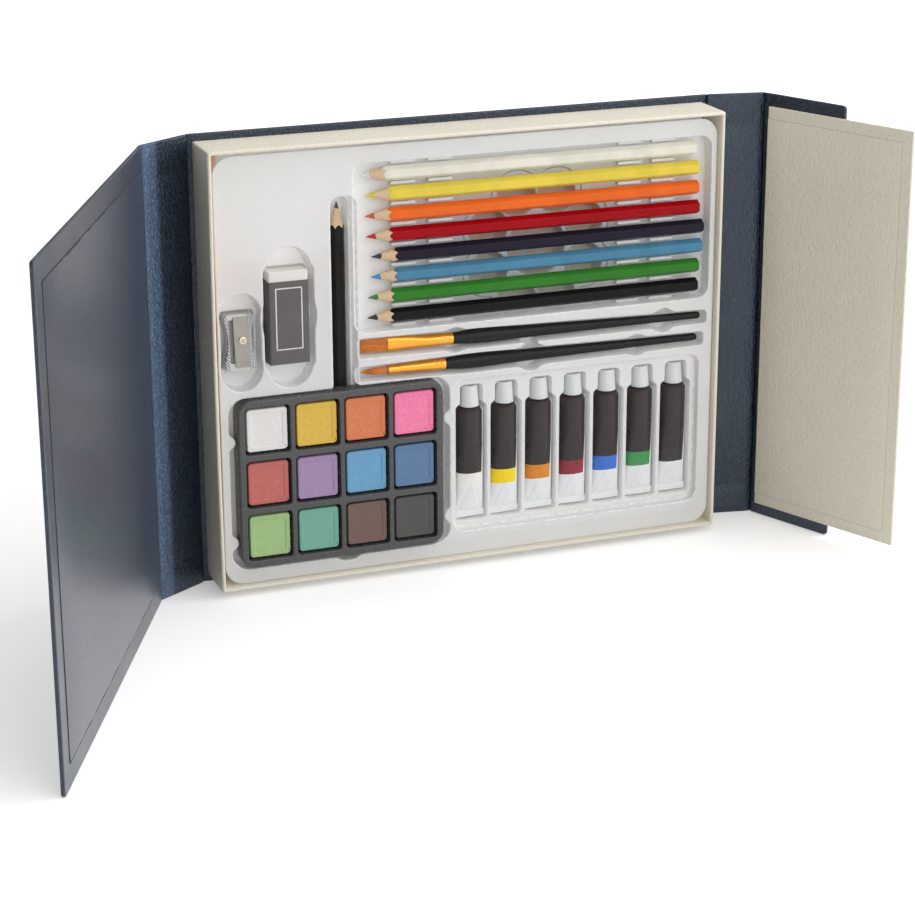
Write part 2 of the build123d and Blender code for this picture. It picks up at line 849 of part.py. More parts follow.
# Flat brush hair: rows of hairs that thin towards a straight chisel edge
with BuildPart() as flat_brush_bristles:
    with BuildSketch(flat_plane.offset(flat_hair)):
        flat_section(flat_width - 2 * mouth_wall - tenon_clear, flat_thick - 2 * mouth_wall - tenon_clear)
    extrude(amount=hair_slice)
    hairs = []
    mouth_wide = flat_width - 4 * mouth_wall
    mouth_thick = flat_thick - 4 * mouth_wall
    for column in range(flat_columns):
        across = 2 * (column + 0.5) / flat_columns - 1
        depth_here = mouth_thick * math.sqrt(1 - 0.9 * across**2)
        for row in range(flat_rows):
            through = (row + 0.5) / flat_rows - 0.5
            root_half = hair_fill * min(mouth_wide / flat_columns, depth_here / flat_rows)
            root = (through * depth_here, across * mouth_wide / 2, flat_hair, root_half)
            edge = (through * chisel_thick, across * chisel_width / 2, 0, hair_tip_half)
            hairs.append(hair(flat_plane, [root, edge]))
    add(hairs)
finish(flat_brush_bristles.part, "flat_brush_bristles")

# Round brush hair: rings of hairs that swell a little and then come to a point
with BuildPart() as round_brush_bristles:
    with BuildSketch(round_plane.offset(round_hair)):
        Circle(round_mouth_r - mouth_wall - tenon_clear / 2)
    extrude(amount=hair_slice)
    hairs = []
    root_r = round_mouth_r - 2 * mouth_wall
    root_half = hair_fill * root_r / round_rings
    for ring in range(round_rings + 1):
        share = ring / round_rings
        around = max(1, 6 * ring)
        ends_at = point_spread * share**2
        draw_in = (point_r + (root_r - point_r) * ends_at / belly_from_tip) / root_r
        for k in range(around):
            x = share * root_r * math.cos(2 * math.pi * k / around)
            y = share * root_r * math.sin(2 * math.pi * k / around)
            root = (x, y, round_hair, root_half)
            belly = (x, y, belly_from_tip, root_half)
            point = (draw_in * x, draw_in * y, ends_at, hair_tip_half)
            hairs.append(hair(round_plane, [root, belly, point]))
    add(hairs)
finish(round_brush_bristles.part, "round_brush_bristles")

# Eraser: a white block in an open-ended card sleeve, standing out at the top
eraser_front = face_plane(eraser_u, eraser_v, small_item_depth)
with BuildPart() as eraser:
    with BuildSketch(eraser_front.offset(-sleeve_card - sleeve_clear)):
        Rectangle(eraser_width - 2 * (sleeve_card + sleeve_clear), eraser_length)
    extrude(amount=-(eraser_thick - 2 * (sleeve_card + sleeve_clear)))
    fillet(eraser.edges().filter_by(Axis.Z), radius=eraser_corner_r - sleeve_card)
    chamfer(eraser.faces().sort_by(Axis.Z)[-1].edges(), length=eraser_edge)
finish(eraser.part, "eraser")

with BuildPart() as eraser_sleeve:
    sleeve_foot = Plane(
        origin=eraser_front.origin + Vector(0, eraser_thick / 2, -eraser_length / 2), z_dir=(0, 0, 1)
    )
    with BuildSketch(sleeve_foot):
        RectangleRounded(eraser_width, eraser_thick, eraser_corner_r)
        RectangleRounded(
            eraser_width - 2 * sleeve_card,
            eraser_thick - 2 * sleeve_card,
            eraser_corner_r - sleeve_card,
            mode=Mode.SUBTRACT,
        )
    extrude(amount=sleeve_length)
finish(eraser_sleeve.part, "eraser_sleeve")

# Sharpener: a waisted metal wedge with a conical hole, a blade on its sloping face and a screw
sharpener_front = face_plane(sharpener_u, sharpener_v, small_item_depth)
sharpener_side = side_plane(sharpener_u, sharpener_v, small_item_depth)
half_long = sharpener_length / 2
slope_angle = math.atan2(sharpener_fall, sharpener_length)
blade_face = Plane(
    origin=sharpener_front.origin + Vector(0, sharpener_fall / 2, 0),
    x_dir=(1, 0, 0),
    z_dir=(0, -math.cos(slope_angle), math.sin(slope_angle)),
)
with BuildPart() as sharpener_body:
    with BuildSketch(sharpener_front):
        with BuildLine():
            top_half, base_half = sharpener_top / 2, sharpener_base / 2
            upper, lower = half_long - sharpener_shoulder, sharpener_foot - half_long
            Polyline(
                (0, half_long),
                (top_half - sharpener_chamfer, half_long),
                (top_half, half_long - sharpener_chamfer),
                (top_half, upper),
            )
            ThreePointArc((top_half, upper), (sharpener_waist / 2, 0), (base_half, lower))
            Polyline((base_half, lower), (base_half, -half_long), (0, -half_long))
            mirror(about=Plane.YZ)
        make_face()
    extrude(amount=-sharpener_thick)
    with BuildSketch(sharpener_side):
        with BuildLine():
            Polyline(
                (0, -half_long),
                (sharpener_fall, half_long),
                (-1, half_long),
                (-1, -half_long),
                close=True,
            )
        make_face()
    extrude(amount=sharpener_base, both=True, mode=Mode.SUBTRACT)
    cone_axis = Axis(
        sharpener_side.origin + Vector(0, cone_axis_depth, -half_long), (0, 0, 1)
    )
    with BuildSketch(sharpener_side):
        with BuildLine():
            Polyline(
                (cone_axis_depth, -half_long),
                (cone_axis_depth + cone_mouth_r, -half_long),
                (cone_axis_depth + cone_end_r, cone_reach - half_long),
                (cone_axis_depth, cone_reach - half_long),
                close=True,
            )
        make_face()
    revolve(axis=cone_axis, mode=Mode.SUBTRACT)
    with BuildSketch(blade_face):
        with Locations((blade_u - blade_width / 2 - slot_width / 2 + blade_bevel, slot_rise)):
            RectangleRounded(slot_width, slot_length, slot_corner_r)
    extrude(amount=-(cone_axis_depth - sharpener_fall / 2), mode=Mode.SUBTRACT)
    with BuildSketch(blade_face):
        with Locations((screw_u, screw_v)):
            Circle(screw_shank_r)
    extrude(amount=-screw_depth, mode=Mode.SUBTRACT)
finish(sharpener_body.part, "sharpener_body")

with BuildPart() as sharpener_blade:
    with BuildSketch(blade_face):
        with Locations((blade_u, 0)):
            Rectangle(blade_width, blade_length)
        with Locations((screw_u, screw_v)):
            Circle(screw_shank_r + tenon_clear, mode=Mode.SUBTRACT)
    extrude(amount=blade_t)
    cutting_edge = sharpener_blade.edges().group_by(Axis.X)[0].sort_by(Axis.Y)[0]
    chamfer(cutting_edge, length=blade_bevel)
finish(sharpener_blade.part, "sharpener_blade")

with BuildPart() as sharpener_screw:
    with BuildSketch(blade_face.offset(blade_t)):
        with Locations((screw_u, screw_v)):
            Circle(screw_head_r)
    extrude(amount=screw_head_t, taper=screw_head_taper)
    with BuildSketch(blade_face.offset(blade_t)):
        with Locations((screw_u, screw_v)):
            Circle(screw_shank_r)
    extrude(amount=-(blade_t + screw_depth))
    with BuildSketch(blade_face.offset(blade_t + screw_head_t)):
        with Locations((screw_u, screw_v)):
            Rectangle(2 * screw_recess_r, screw_slot, rotation=screw_slot_turn)
            Rectangle(screw_slot, 2 * screw_recess_r, rotation=screw_slot_turn)
    extrude(amount=-screw_head_t / 2, mode=Mode.SUBTRACT)
finish(sharpener_screw.part, "sharpener_screw")

# Pan tray: a moulded plastic tray with a pocket for each cake and a hollow foot
pan_front = face_plane(pan_u, pan_v, -pan_proud)
pocket_depth = pan_thick - pan_floor - pan_foot
pan_columns = len(cake_rows[0])
with BuildPart() as pan_tray:
    with BuildSketch(pan_front):
        RectangleRounded(pan_width, pan_height, pan_corner_r)
    extrude(amount=-pan_thick)
    fillet(pan_tray.faces().sort_by(Axis.Y)[0].edges(), radius=pan_edge_r)
    with BuildSketch(pan_front):
        with GridLocations(cake_pitch_u, cake_pitch_v, pan_columns, len(cake_rows)):
            RectangleRounded(cake_pitch_u - pan_rib, cake_pitch_v - pan_rib_cross, cake_corner_r)
    extrude(amount=-pocket_depth, mode=Mode.SUBTRACT)
    with BuildSketch(pan_front.offset(-pan_thick)):
        RectangleRounded(
            pan_width - 2 * pan_foot_wall, pan_height - 2 * pan_foot_wall, pan_corner_r - pan_foot_wall
        )
    extrude(amount=pan_foot, mode=Mode.SUBTRACT)
finish(pan_tray.part, "pan_tray")


def make_cake(row, column, name):
    """A pressed paint cake with drafted sides and a faintly dished face inside a border."""
    u = pan_u + (column - (pan_columns - 1) / 2) * cake_pitch_u
    v = pan_v - (row - (len(cake_rows) - 1) / 2) * cake_pitch_v
    floor = face_plane(u, v, pocket_depth - pan_proud)
    with BuildPart() as cake:
        with BuildSketch(floor):
            RectangleRounded(cake_width, cake_height, cake_corner_r)
        extrude(amount=cake_thick, taper=cake_draft)
        with BuildSketch(floor.offset(cake_thick)):
            Rectangle(cake_width - 2 * cake_border, cake_height - 2 * cake_border)
        extrude(amount=-cake_dish, taper=dish_slope, mode=Mode.SUBTRACT)
    finish(cake.part, name)


for row, colours in enumerate(cake_rows):
    for column, colour in enumerate(colours):
        make_cake(row, column, f"cake_{colour}")


def make_tube(u, colour):
    """A soft metal paint tube, round at the shoulder and folded flat at the foot, and its screw cap."""
    foot = Plane(
        origin=(u, face_y + tube_axis_depth, insert_mid_z + tube_foot_v), z_dir=(0, 0, 1)
    )
    shoulder = crimp_height + tube_body
    collar = shoulder + shoulder_rise
    with BuildPart() as tube:
        for rise, wide, thick in (
            (0, crimp_width - 2 * fold_step, crimp_t - fold_step),
            (tube_flat_rise, tube_flat_width, tube_flat_thick),
            (tube_round_rise, 2 * tube_r, 2 * nearly * tube_r),
            (tube_body, 2 * tube_r, 2 * nearly * tube_r),
        ):
            with BuildSketch(foot.offset(crimp_height + rise)):
                Ellipse(wide / 2, thick / 2)
        loft()
        with BuildSketch(foot):
            RectangleRounded(crimp_width, crimp_t, crimp_t / 4)
        extrude(amount=crimp_height)
        with BuildSketch(foot.offset(shoulder)):
            Circle(tube_r - fold_step)
        extrude(amount=shoulder_rise, taper=shoulder_slope)
        with BuildSketch(foot.offset(collar)):
            Circle(neck_r)
        extrude(amount=neck_length)
    finish(tube.part, f"tube_{colour}")
    with BuildPart() as cap:
        with BuildSketch(foot.offset(collar + cap_clear)):
            Circle(cap_base_r)
        with BuildSketch(foot.offset(collar + cap_length)):
            Circle(cap_top_r)
        loft()
        fillet(cap.faces().sort_by(Axis.Z)[-1].edges(), radius=cap_edge_r)
        with BuildSketch(foot.offset(collar + cap_clear)):
            Circle(neck_r + cap_clear)
        extrude(amount=neck_length, mode=Mode.SUBTRACT)
    finish(cap.part, f"cap_{colour}")


for i, colour in enumerate(tube_names):
    make_tube(first_tube_u + i * tube_pitch, colour)
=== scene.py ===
# A watercolour art set in a covered board case: its looks, laid over the CAD frame.
# Metres, in the frame's axes: X to the right, Y to the back, Z up. Shapes are written in
# millimetres in their own axes and scaled when they become pieces.

import json
import math
from functools import partial

import bmesh
import bpy
import numpy as np
from mathutils import Matrix, Vector
from mathutils.geometry import delaunay_2d_cdt


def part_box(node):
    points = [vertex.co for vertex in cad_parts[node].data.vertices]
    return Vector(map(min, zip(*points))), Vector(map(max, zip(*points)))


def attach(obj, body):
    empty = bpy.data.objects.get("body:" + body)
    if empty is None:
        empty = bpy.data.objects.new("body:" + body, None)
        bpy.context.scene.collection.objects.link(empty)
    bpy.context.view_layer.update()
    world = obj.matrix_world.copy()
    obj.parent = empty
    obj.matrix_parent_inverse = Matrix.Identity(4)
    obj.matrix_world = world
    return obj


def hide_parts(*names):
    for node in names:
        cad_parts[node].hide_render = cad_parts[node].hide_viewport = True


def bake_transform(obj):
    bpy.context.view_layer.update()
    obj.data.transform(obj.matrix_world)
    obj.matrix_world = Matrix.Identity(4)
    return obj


mm = 0.001
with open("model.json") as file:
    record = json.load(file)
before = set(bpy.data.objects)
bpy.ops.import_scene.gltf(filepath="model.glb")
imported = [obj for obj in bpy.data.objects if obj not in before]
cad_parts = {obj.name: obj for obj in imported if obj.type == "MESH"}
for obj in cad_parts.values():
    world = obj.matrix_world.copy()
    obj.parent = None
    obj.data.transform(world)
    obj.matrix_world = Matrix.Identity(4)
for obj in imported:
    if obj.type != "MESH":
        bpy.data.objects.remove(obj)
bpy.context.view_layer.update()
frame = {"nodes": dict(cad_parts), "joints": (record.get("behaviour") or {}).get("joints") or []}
chance = np.random.default_rng(11)
joints = {joint["name"]: joint for joint in frame["joints"]}

# The insert's face carries its own plane: u to the right and v up from its middle, depth behind it
insert_low, insert_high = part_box("insert")
face_y = insert_low.y
insert_mid_z = (insert_low.z + insert_high.z) / 2
case_low, case_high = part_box("back_panel")
case_height = (case_high.z - case_low.z) / mm


def span(node):
    """A node's reach in the insert's plane: (u0, u1, v0, v1, d0, d1), in millimetres."""
    low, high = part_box(node)
    return (
        low.x / mm, high.x / mm, (low.z - insert_mid_z) / mm, (high.z - insert_mid_z) / mm,
        (low.y - face_y) / mm, (high.y - face_y) / mm
    )


def plan(u0, u1, v0, v1, *_):
    """A span's middle and half sizes in the insert's plane: (u, v, half_u, half_v)."""
    return (u0 + u1) / 2, (v0 + v1) / 2, (u1 - u0) / 2, (v1 - v0) / 2


def axes(origin, x_axis, y_axis):
    """A right-handed frame from its origin in metres and two directions."""
    x_axis = Vector(x_axis).normalized()
    z_axis = x_axis.cross(Vector(y_axis)).normalized()
    y_axis = z_axis.cross(x_axis)
    matrix = Matrix((x_axis, y_axis, z_axis)).transposed().to_4x4()
    matrix.translation = Vector(origin)
    return matrix


def on_face(u, v, depth):
    """A place in the insert's plane, in metres."""
    return Vector((u * mm, face_y + depth * mm, insert_mid_z + v * mm))


# The insert's own frame: local x is u, local y is v, and local z comes out of the face
face_frame = axes(on_face(0, 0, 0), (1, 0, 0), (0, 0, 1))


def linear(code, shade=1.0):
    """A hex colour as the linear values that a shader takes, darkened by a shade below 1."""
    values = [int(code[i : i + 2], 16) / 255 for i in (1, 3, 5)]
    values = [c / 12.92 if c <= 0.04045 else ((c + 0.055) / 1.055) ** 2.4 for c in values]
    return (*(shade * c for c in values), 1.0)


def add_node(tree, kind, links=(), **settings):
    """A shader node with its settings. links gives its inputs by name or number, or in their order:
    a value, a hex colour, a socket, or a node, which means that node's first output in use."""
    node = tree.nodes.new("ShaderNode" + kind)
    for name, value in settings.items():
        setattr(node, name, value)
    for key, value in links.items() if isinstance(links, dict) else enumerate(links):
        if isinstance(value, bpy.types.Node):
            value = next(output for output in value.outputs if output.enabled)
        if isinstance(value, bpy.types.NodeSocket):
            tree.links.new(value, node.inputs[key])
        else:
            node.inputs[key].default_value = linear(value) if isinstance(value, str) else value
    return node


# Settings of the nodes that most materials share: Map Range is (value, from low, from high, to low,
# to high), softly clamped, and Mix takes its share at 0 and its colours at 6 and 7
soft = {"interpolation_type": "SMOOTHSTEP"}
colours_of = {"data_type": "RGBA"}


def start_material(name):
    """An empty material, what adds nodes to it, and its object coordinates in metres."""
    material = bpy.data.materials.new(name)
    material.use_nodes = True
    material.node_tree.nodes.clear()
    add = partial(add_node, material.node_tree)
    return material, add, add("TexCoord").outputs["Object"]


def drifting_finish(
    name, cloud, colours, rough, turn=None, steps=(0.3, 0.7), relief=None, rise=0.0, bump=0.5, **more
):
    """A finish whose colour and roughness drift with a cloud, over a relief of its own or the cloud's.

    cloud and relief are (feature size in millimetres, detail, stretch). turn is the part of the cloud
    over which the colour changes, steps the part over which the roughness does, and rise the relief's
    height in millimetres. more goes straight to the shader."""
    material, add, coords = start_material(name)
    textures = []
    for size, detail, stretch in (cloud, relief) if relief else (cloud,):
        drawn = add("Mapping", {"Vector": coords, "Scale": stretch})
        texture = {"Vector": drawn, "Scale": 1 / (size * mm), "Detail": detail}
        textures.append(add("TexNoise", texture))
    share = add("MapRange", (textures[0], *turn), **soft) if turn else textures[0]
    inputs = {
        "Base Color": add("Mix", {0: share, 6: colours[0], 7: colours[1]}, **colours_of),
        "Roughness": add("MapRange", (textures[0], *steps, *rough), **soft)
    }
    if rise:
        height = {"Height": textures[-1], "Distance": rise * mm, "Strength": bump}
        inputs["Normal"] = add("Bump", height)
    inputs.update({key.replace("_", " "): value for key, value in more.items()})
    shader = add("BsdfPrincipled", inputs)
    add("OutputMaterial", {"Surface": shader})
    return material


even = (1, 1, 1)


def pebble_grain(add, coords, size, lean):
    """Embossed leather grain: rounded pebbles drawn out along one way, with fine wrinkles between."""
    leaned = add("Mapping", {"Vector": coords, "Rotation": lean, "Scale": (1, 1, 0.55)})
    drift = add("TexNoise", {"Vector": leaned, "Scale": 0.4 / size, "Detail": 2.0})
    sway = (drift.outputs["Color"], (1.6 * size,) * 3, leaned)
    drifted = add("VectorMath", sway, operation="MULTIPLY_ADD")
    cells = {"Vector": drifted, "Scale": 1 / size, "Smoothness": 0.35}
    pebbles = add("TexVoronoi", cells, feature="SMOOTH_F1")
    wrinkles = add("TexNoise", {"Vector": drifted, "Scale": 1 / (0.35 * size), "Detail": 3.0})
    crowns = add("Math", (1.0, pebbles), operation="SUBTRACT")
    return add("Math", (wrinkles, 0.45, crowns), operation="MULTIPLY_ADD")


def in_from_edges(add, coords, half_wide, half_high):
    """How far in from its nearest edge a place on an upright sheet is, given the sheet's half sizes."""
    place = add("SeparateXYZ", (coords,))
    gaps = []
    for axis, half in (("X", half_wide), ("Z", half_high)):
        out = add("Math", (place.outputs[axis],), operation="ABSOLUTE")
        gaps.append(add("Math", (half, out), operation="SUBTRACT"))
    return add("Math", gaps, operation="MINIMUM")


cloth_grain = 1.0 * mm
cloth_lean = (0.5, 0.4, 0.2)


# Embossed leatherette over board: dark navy, with broad soft highlights broken up by the pebble grain,
# whose crowns are painted lighter, a painted highlight. When it is given, the argument is where a
# board's inner face starts a paler band towards its fold: a painted highlight
def make_leatherette(rubbed_and_sheen=None):
    material, add, coords = start_material("Navy_Leatherette_Embossed")
    grain = pebble_grain(add, coords, cloth_grain, cloth_lean)
    patchy = add("TexNoise", {"Vector": coords, "Scale": 1 / (35 * mm), "Detail": 4.0})
    base = add("Mix", {0: patchy, 6: "#0d1520", 7: "#131e2d"}, **colours_of)
    # The pebble crowns are painted lighter: painted highlight
    wear_and_highlight = add("MapRange", (grain, 0.72, 1.12), **soft)
    colour = add("Mix", {0: wear_and_highlight, 6: base, 7: "#25384f"}, **colours_of)
    # A paler band painted on the inner face towards the fold: painted highlight
    if rubbed_and_sheen:
        place = add("SeparateXYZ", (coords,))
        near_fold = add("MapRange", (place.outputs["X"], rubbed_and_sheen, rubbed_and_sheen + 4 * mm), **soft)
        inside = add("MapRange", (place.outputs["Y"], 0.0, 0.8 * mm), **soft)
        both = add("Math", (near_fold, inside), operation="MULTIPLY")
        painted_sheen = add("Mix", {0: wear_and_highlight, 6: "#3c5068", 7: "#667d98"}, **colours_of)
        colour = add("Mix", {0: both, 6: colour, 7: painted_sheen}, **colours_of)
    look = {
        "Base Color": colour, "Roughness": add("MapRange", (patchy, 0.3, 0.7, 0.32, 0.42), **soft),
        "Specular IOR Level": 0.9, "Specular Tint": "#dbe6f7",
        "Normal": add("Bump", {"Height": grain, "Distance": 0.30 * mm, "Strength": 1.0})
    }
    add("OutputMaterial", {"Surface": add("BsdfPrincipled", look)})
    return material


# Coated endpaper in dark slate: satin, so that it mirrors softly at a low angle, with a fine upright
# laid texture and a painted shadow: a dark ragged line along its edge, where it meets the turned-in
# cloth
def make_endpaper(half_wide, half_high):
    material, add, coords = start_material("Slate_Endpaper_Coated")
    upright = add("Mapping", {"Vector": coords, "Scale": (1, 1, 0.16)})
    fibres = add("TexNoise", {"Vector": upright, "Scale": 1 / (0.5 * mm), "Detail": 4.0})
    cloud = add("TexNoise", {"Vector": coords, "Scale": 1 / (60 * mm), "Detail": 2.0})
    colour = add("Mix", {0: cloud, 6: "#353c49", 7: "#404858"}, **colours_of)
    # A dark line painted along the sheet's edge: painted shadow of its edge on the cloth
    ragged = add("TexNoise", {"Vector": coords, "Scale": 1 / (14 * mm), "Detail": 3.0})
    wide = add("MapRange", (ragged, 0.35, 0.65, 0.25 * mm, 0.9 * mm), **soft)
    inwards = in_from_edges(add, coords, half_wide, half_high)
    dark_edge_line = add("Math", (inwards, wide), operation="LESS_THAN")
    satin = add("MapRange", (fibres, 0.2, 0.8, 0.26, 0.36), **soft)
    look = {
        "Base Color": add("Mix", {0: dark_edge_line, 6: colour, 7: "#0b0d10"}, **colours_of),
        "Roughness": add("Math", (dark_edge_line, 0.5, satin), operation="MULTIPLY_ADD"),
        "Specular IOR Level": 1.0,
        "Normal": add("Bump", {"Height": fibres, "Distance": 0.02 * mm, "Strength": 0.5})
    }
    add("OutputMaterial", {"Surface": add("BsdfPrincipled", look)})
    return material


# The cover's turned-in cloth, pressed flat around the endpaper: nearly as smooth as the paper, and a
# little greyer than the navy outside, so that the two read as one slate surface at a low angle
def make_turned_in_cloth():
    material, add, coords = start_material("Slate_Leatherette_Pressed_Flat")
    grain = pebble_grain(add, coords, cloth_grain, cloth_lean)
    patchy = add("TexNoise", {"Vector": coords, "Scale": 1 / (35 * mm), "Detail": 4.0})
    look = {
        "Base Color": add("Mix", {0: patchy, 6: "#343a46", 7: "#414856"}, **colours_of),
        "Roughness": add("MapRange", (patchy, 0.3, 0.7, 0.28, 0.38), **soft), "Specular IOR Level": 1.0,
        "Normal": add("Bump", {"Height": grain, "Distance": 0.05 * mm, "Strength": 0.6})
    }
    add("OutputMaterial", {"Surface": add("BsdfPrincipled", look)})
    return material


# Cream wrapping paper with a shallow leather emboss, warmer where it has been handled. A sheet laid
# over the turned-in border shows a fine darker line along its edges, given by its half sizes
def make_cream_wrap(half_wide=None, half_high=None):
    material, add, coords = start_material("Cream_Wrapping_Paper_Embossed")
    grain = pebble_grain(add, coords, 1.1 * mm, (0.4, 0.9, 0.3))
    cloud = add("TexNoise", {"Vector": coords, "Scale": 1 / (45 * mm), "Detail": 3.0})
    colour = add("Mix", {0: cloud, 6: "#e0d9c6", 7: "#e8e2d4"}, **colours_of)
    # The grain's hollows are painted a little darker: painted shade
    crowns = add("MapRange", (grain, 0.20, 1.00), **soft)
    colour = add("Mix", {0: crowns, 6: "#dfd7c3", 7: colour}, **colours_of)
    if half_wide:
        inwards = in_from_edges(add, coords, half_wide, half_high)
        dark_edge_line = add("Math", (inwards, 0.25 * mm), operation="LESS_THAN")
        colour = add("Mix", {0: dark_edge_line, 6: colour, 7: "#bfb59c"}, **colours_of)
    look = {
        "Base Color": colour, "Roughness": add("MapRange", (cloud, 0.3, 0.7, 0.46, 0.56), **soft),
        "Normal": add("Bump", {"Height": grain, "Distance": 0.22 * mm, "Strength": 1.0})
    }
    add("OutputMaterial", {"Surface": add("BsdfPrincipled", look)})
    return material


# The pad's printed cover: white coated card with loose peach and rose washes, soft under the insert
def make_pad_cover():
    material, add, coords = start_material("White_Card_With_Washes")
    wash = add("TexNoise", {"Vector": coords, "Scale": 1 / (48 * mm), "Detail": 5.0})
    place = add("SeparateXYZ", (coords,))
    across, up = place.outputs["X"], place.outputs["Z"]
    ragged = add("Math", (wash, 16 * mm, up), operation="MULTIPLY_ADD")
    above = add("Math", (ragged, 51 * mm), operation="SUBTRACT")
    off_band = add("Math", (above,), operation="ABSOLUTE")
    band = add("MapRange", (off_band, 7 * mm, 9 * mm, 1.0, 0.0), **soft)
    to_left = add("MapRange", (across, -46 * mm, -36 * mm, 1.0, 0.0), **soft)
    margin = add("MapRange", (across, -125 * mm, -121 * mm, 1.0, 0.0), **soft)
    washed = add("Math", (band, to_left), operation="MULTIPLY")
    peach = add("Math", (margin, washed), operation="MAXIMUM")
    drift = add("MapRange", (wash, 0.4, 0.62), **soft)
    hue = add("Mix", {0: drift, 6: "#f0c19c", 7: "#e0a184"}, **colours_of)
    fine = add("TexNoise", {"Vector": coords, "Scale": 1 / (0.5 * mm), "Detail": 2.0})
    look = {
        "Base Color": add("Mix", {0: peach, 6: "#f4f3f1", 7: hue}, **colours_of),
        "Roughness": add("MapRange", (fine, 0.2, 0.8, 0.45, 0.6), **soft),
        "Normal": add("Bump", {"Height": fine, "Distance": 0.01 * mm, "Strength": 0.5})
    }
    add("OutputMaterial", {"Surface": add("BsdfPrincipled", look)})
    return material


# The pad's cut sheets: their edges show as hundreds of fine lines, a few of them proud
def make_sheet_edges():
    material, add, coords = start_material("Watercolour_Paper_Cut_Edges")
    stacked = add("Mapping", {"Vector": coords, "Scale": (6, 2600, 6)})
    lines = add("TexNoise", {"Vector": stacked, "Scale": 1.0, "Detail": 2.0})
    share = add("MapRange", (lines, 0.35, 0.65), **soft)
    look = {
        "Base Color": add("Mix", {0: share, 6: "#b98d68", 7: "#efd3b0"}, **colours_of),
        "Roughness": add("MapRange", (lines, 0.2, 0.8, 0.8, 0.95), **soft),
        "Normal": add("Bump", {"Height": lines, "Distance": 0.08 * mm, "Strength": 1.0})
    }
    add("OutputMaterial", {"Surface": add("BsdfPrincipled", look)})
    return material


# Thin vacuum-formed sheet: milk white and satin. Light goes through it, so its wells stay bright, and
# the print behind it shows as a faint warmth. Its deeper parts are painted whiter: painted light in the
# wells
def make_formed_sheet():
    material, add, coords = start_material("Milk_White_Sheet_Vacuum_Formed")
    ripple = add("TexNoise", {"Vector": coords, "Scale": 1 / (16 * mm), "Detail": 2.0})
    pulled = add("Mapping", {"Vector": coords, "Scale": (1, 1, 0.3)})
    creases = add("TexNoise", {"Vector": pulled, "Scale": 1 / (5 * mm), "Detail": 3.0})
    height = add("Math", (creases, 0.25, ripple), operation="MULTIPLY_ADD")
    normal = add("Bump", {"Height": height, "Distance": 0.3 * mm, "Strength": 0.4})
    place = add("SeparateXYZ", (coords,))
    # Whiter with depth: painted light against the shade in the wells
    drawn = add("MapRange", (place.outputs["Z"], -7.0 * mm, -0.3 * mm, 1.0, 0.0), **soft)
    white = add("Mix", {0: drawn, 6: "#f0f0ef", 7: "#fefefe"}, **colours_of)
    satin = add(
        "BsdfPrincipled",
        {
            "Base Color": white, "Roughness": 0.24, "IOR": 1.49, "Specular IOR Level": 0.4,
            "Normal": normal
        }
    )
    glow = add("BsdfTranslucent", {"Color": white, "Normal": normal})
    clear = add("BsdfTransparent", {"Color": "#fdfdfd"})
    body = add("MixShader", (0.25, satin, glow))
    cloud = add("TexNoise", {"Vector": coords, "Scale": 1 / (22 * mm), "Detail": 3.0})
    thin = add("MapRange", (cloud, 0.3, 0.7, 0.10, 0.14), **soft)
    lit = add("LightPath").outputs["Is Shadow Ray"]
    through = add("Math", (lit, 0.75), operation="MULTIPLY")
    passing = add("Math", (thin, through), operation="MAXIMUM")
    add("OutputMaterial", {"Surface": add("MixShader", (passing, body, clear))})
    return material


# The palette's pressed plastic, pale at the rim; its cups are warmer above and greyer below, painted
# shade and painted coloured light from the pencils that lie over them
def make_palette_plastic():
    material, add, coords = start_material("Pale_Plastic_Pressed")
    place = add("SeparateXYZ", (coords,))
    sunk = add("MapRange", (place.outputs["Z"], -1.6 * mm, -0.5 * mm, 1.0, 0.0), **soft)
    # The cups' tint: painted shade and painted coloured light from the pencils lying over them
    up = add("MapRange", (place.outputs["Y"], -30 * mm, 30 * mm), **soft)
    cups = add("Mix", {0: up, 6: "#e6e4d7", 7: "#f6dccd"}, **colours_of)
    fine = add("TexNoise", {"Vector": coords, "Scale": 1 / (6 * mm), "Detail": 3.0})
    look = {
        "Base Color": add("Mix", {0: sunk, 6: "#e9eaec", 7: cups}, **colours_of),
        "Roughness": add("MapRange", (fine, 0.3, 0.7, 0.22, 0.32), **soft), "IOR": 1.49,
        "Normal": add("Bump", {"Height": fine, "Distance": 0.03 * mm, "Strength": 0.5})
    }
    add("OutputMaterial", {"Surface": add("BsdfPrincipled", look)})
    return material


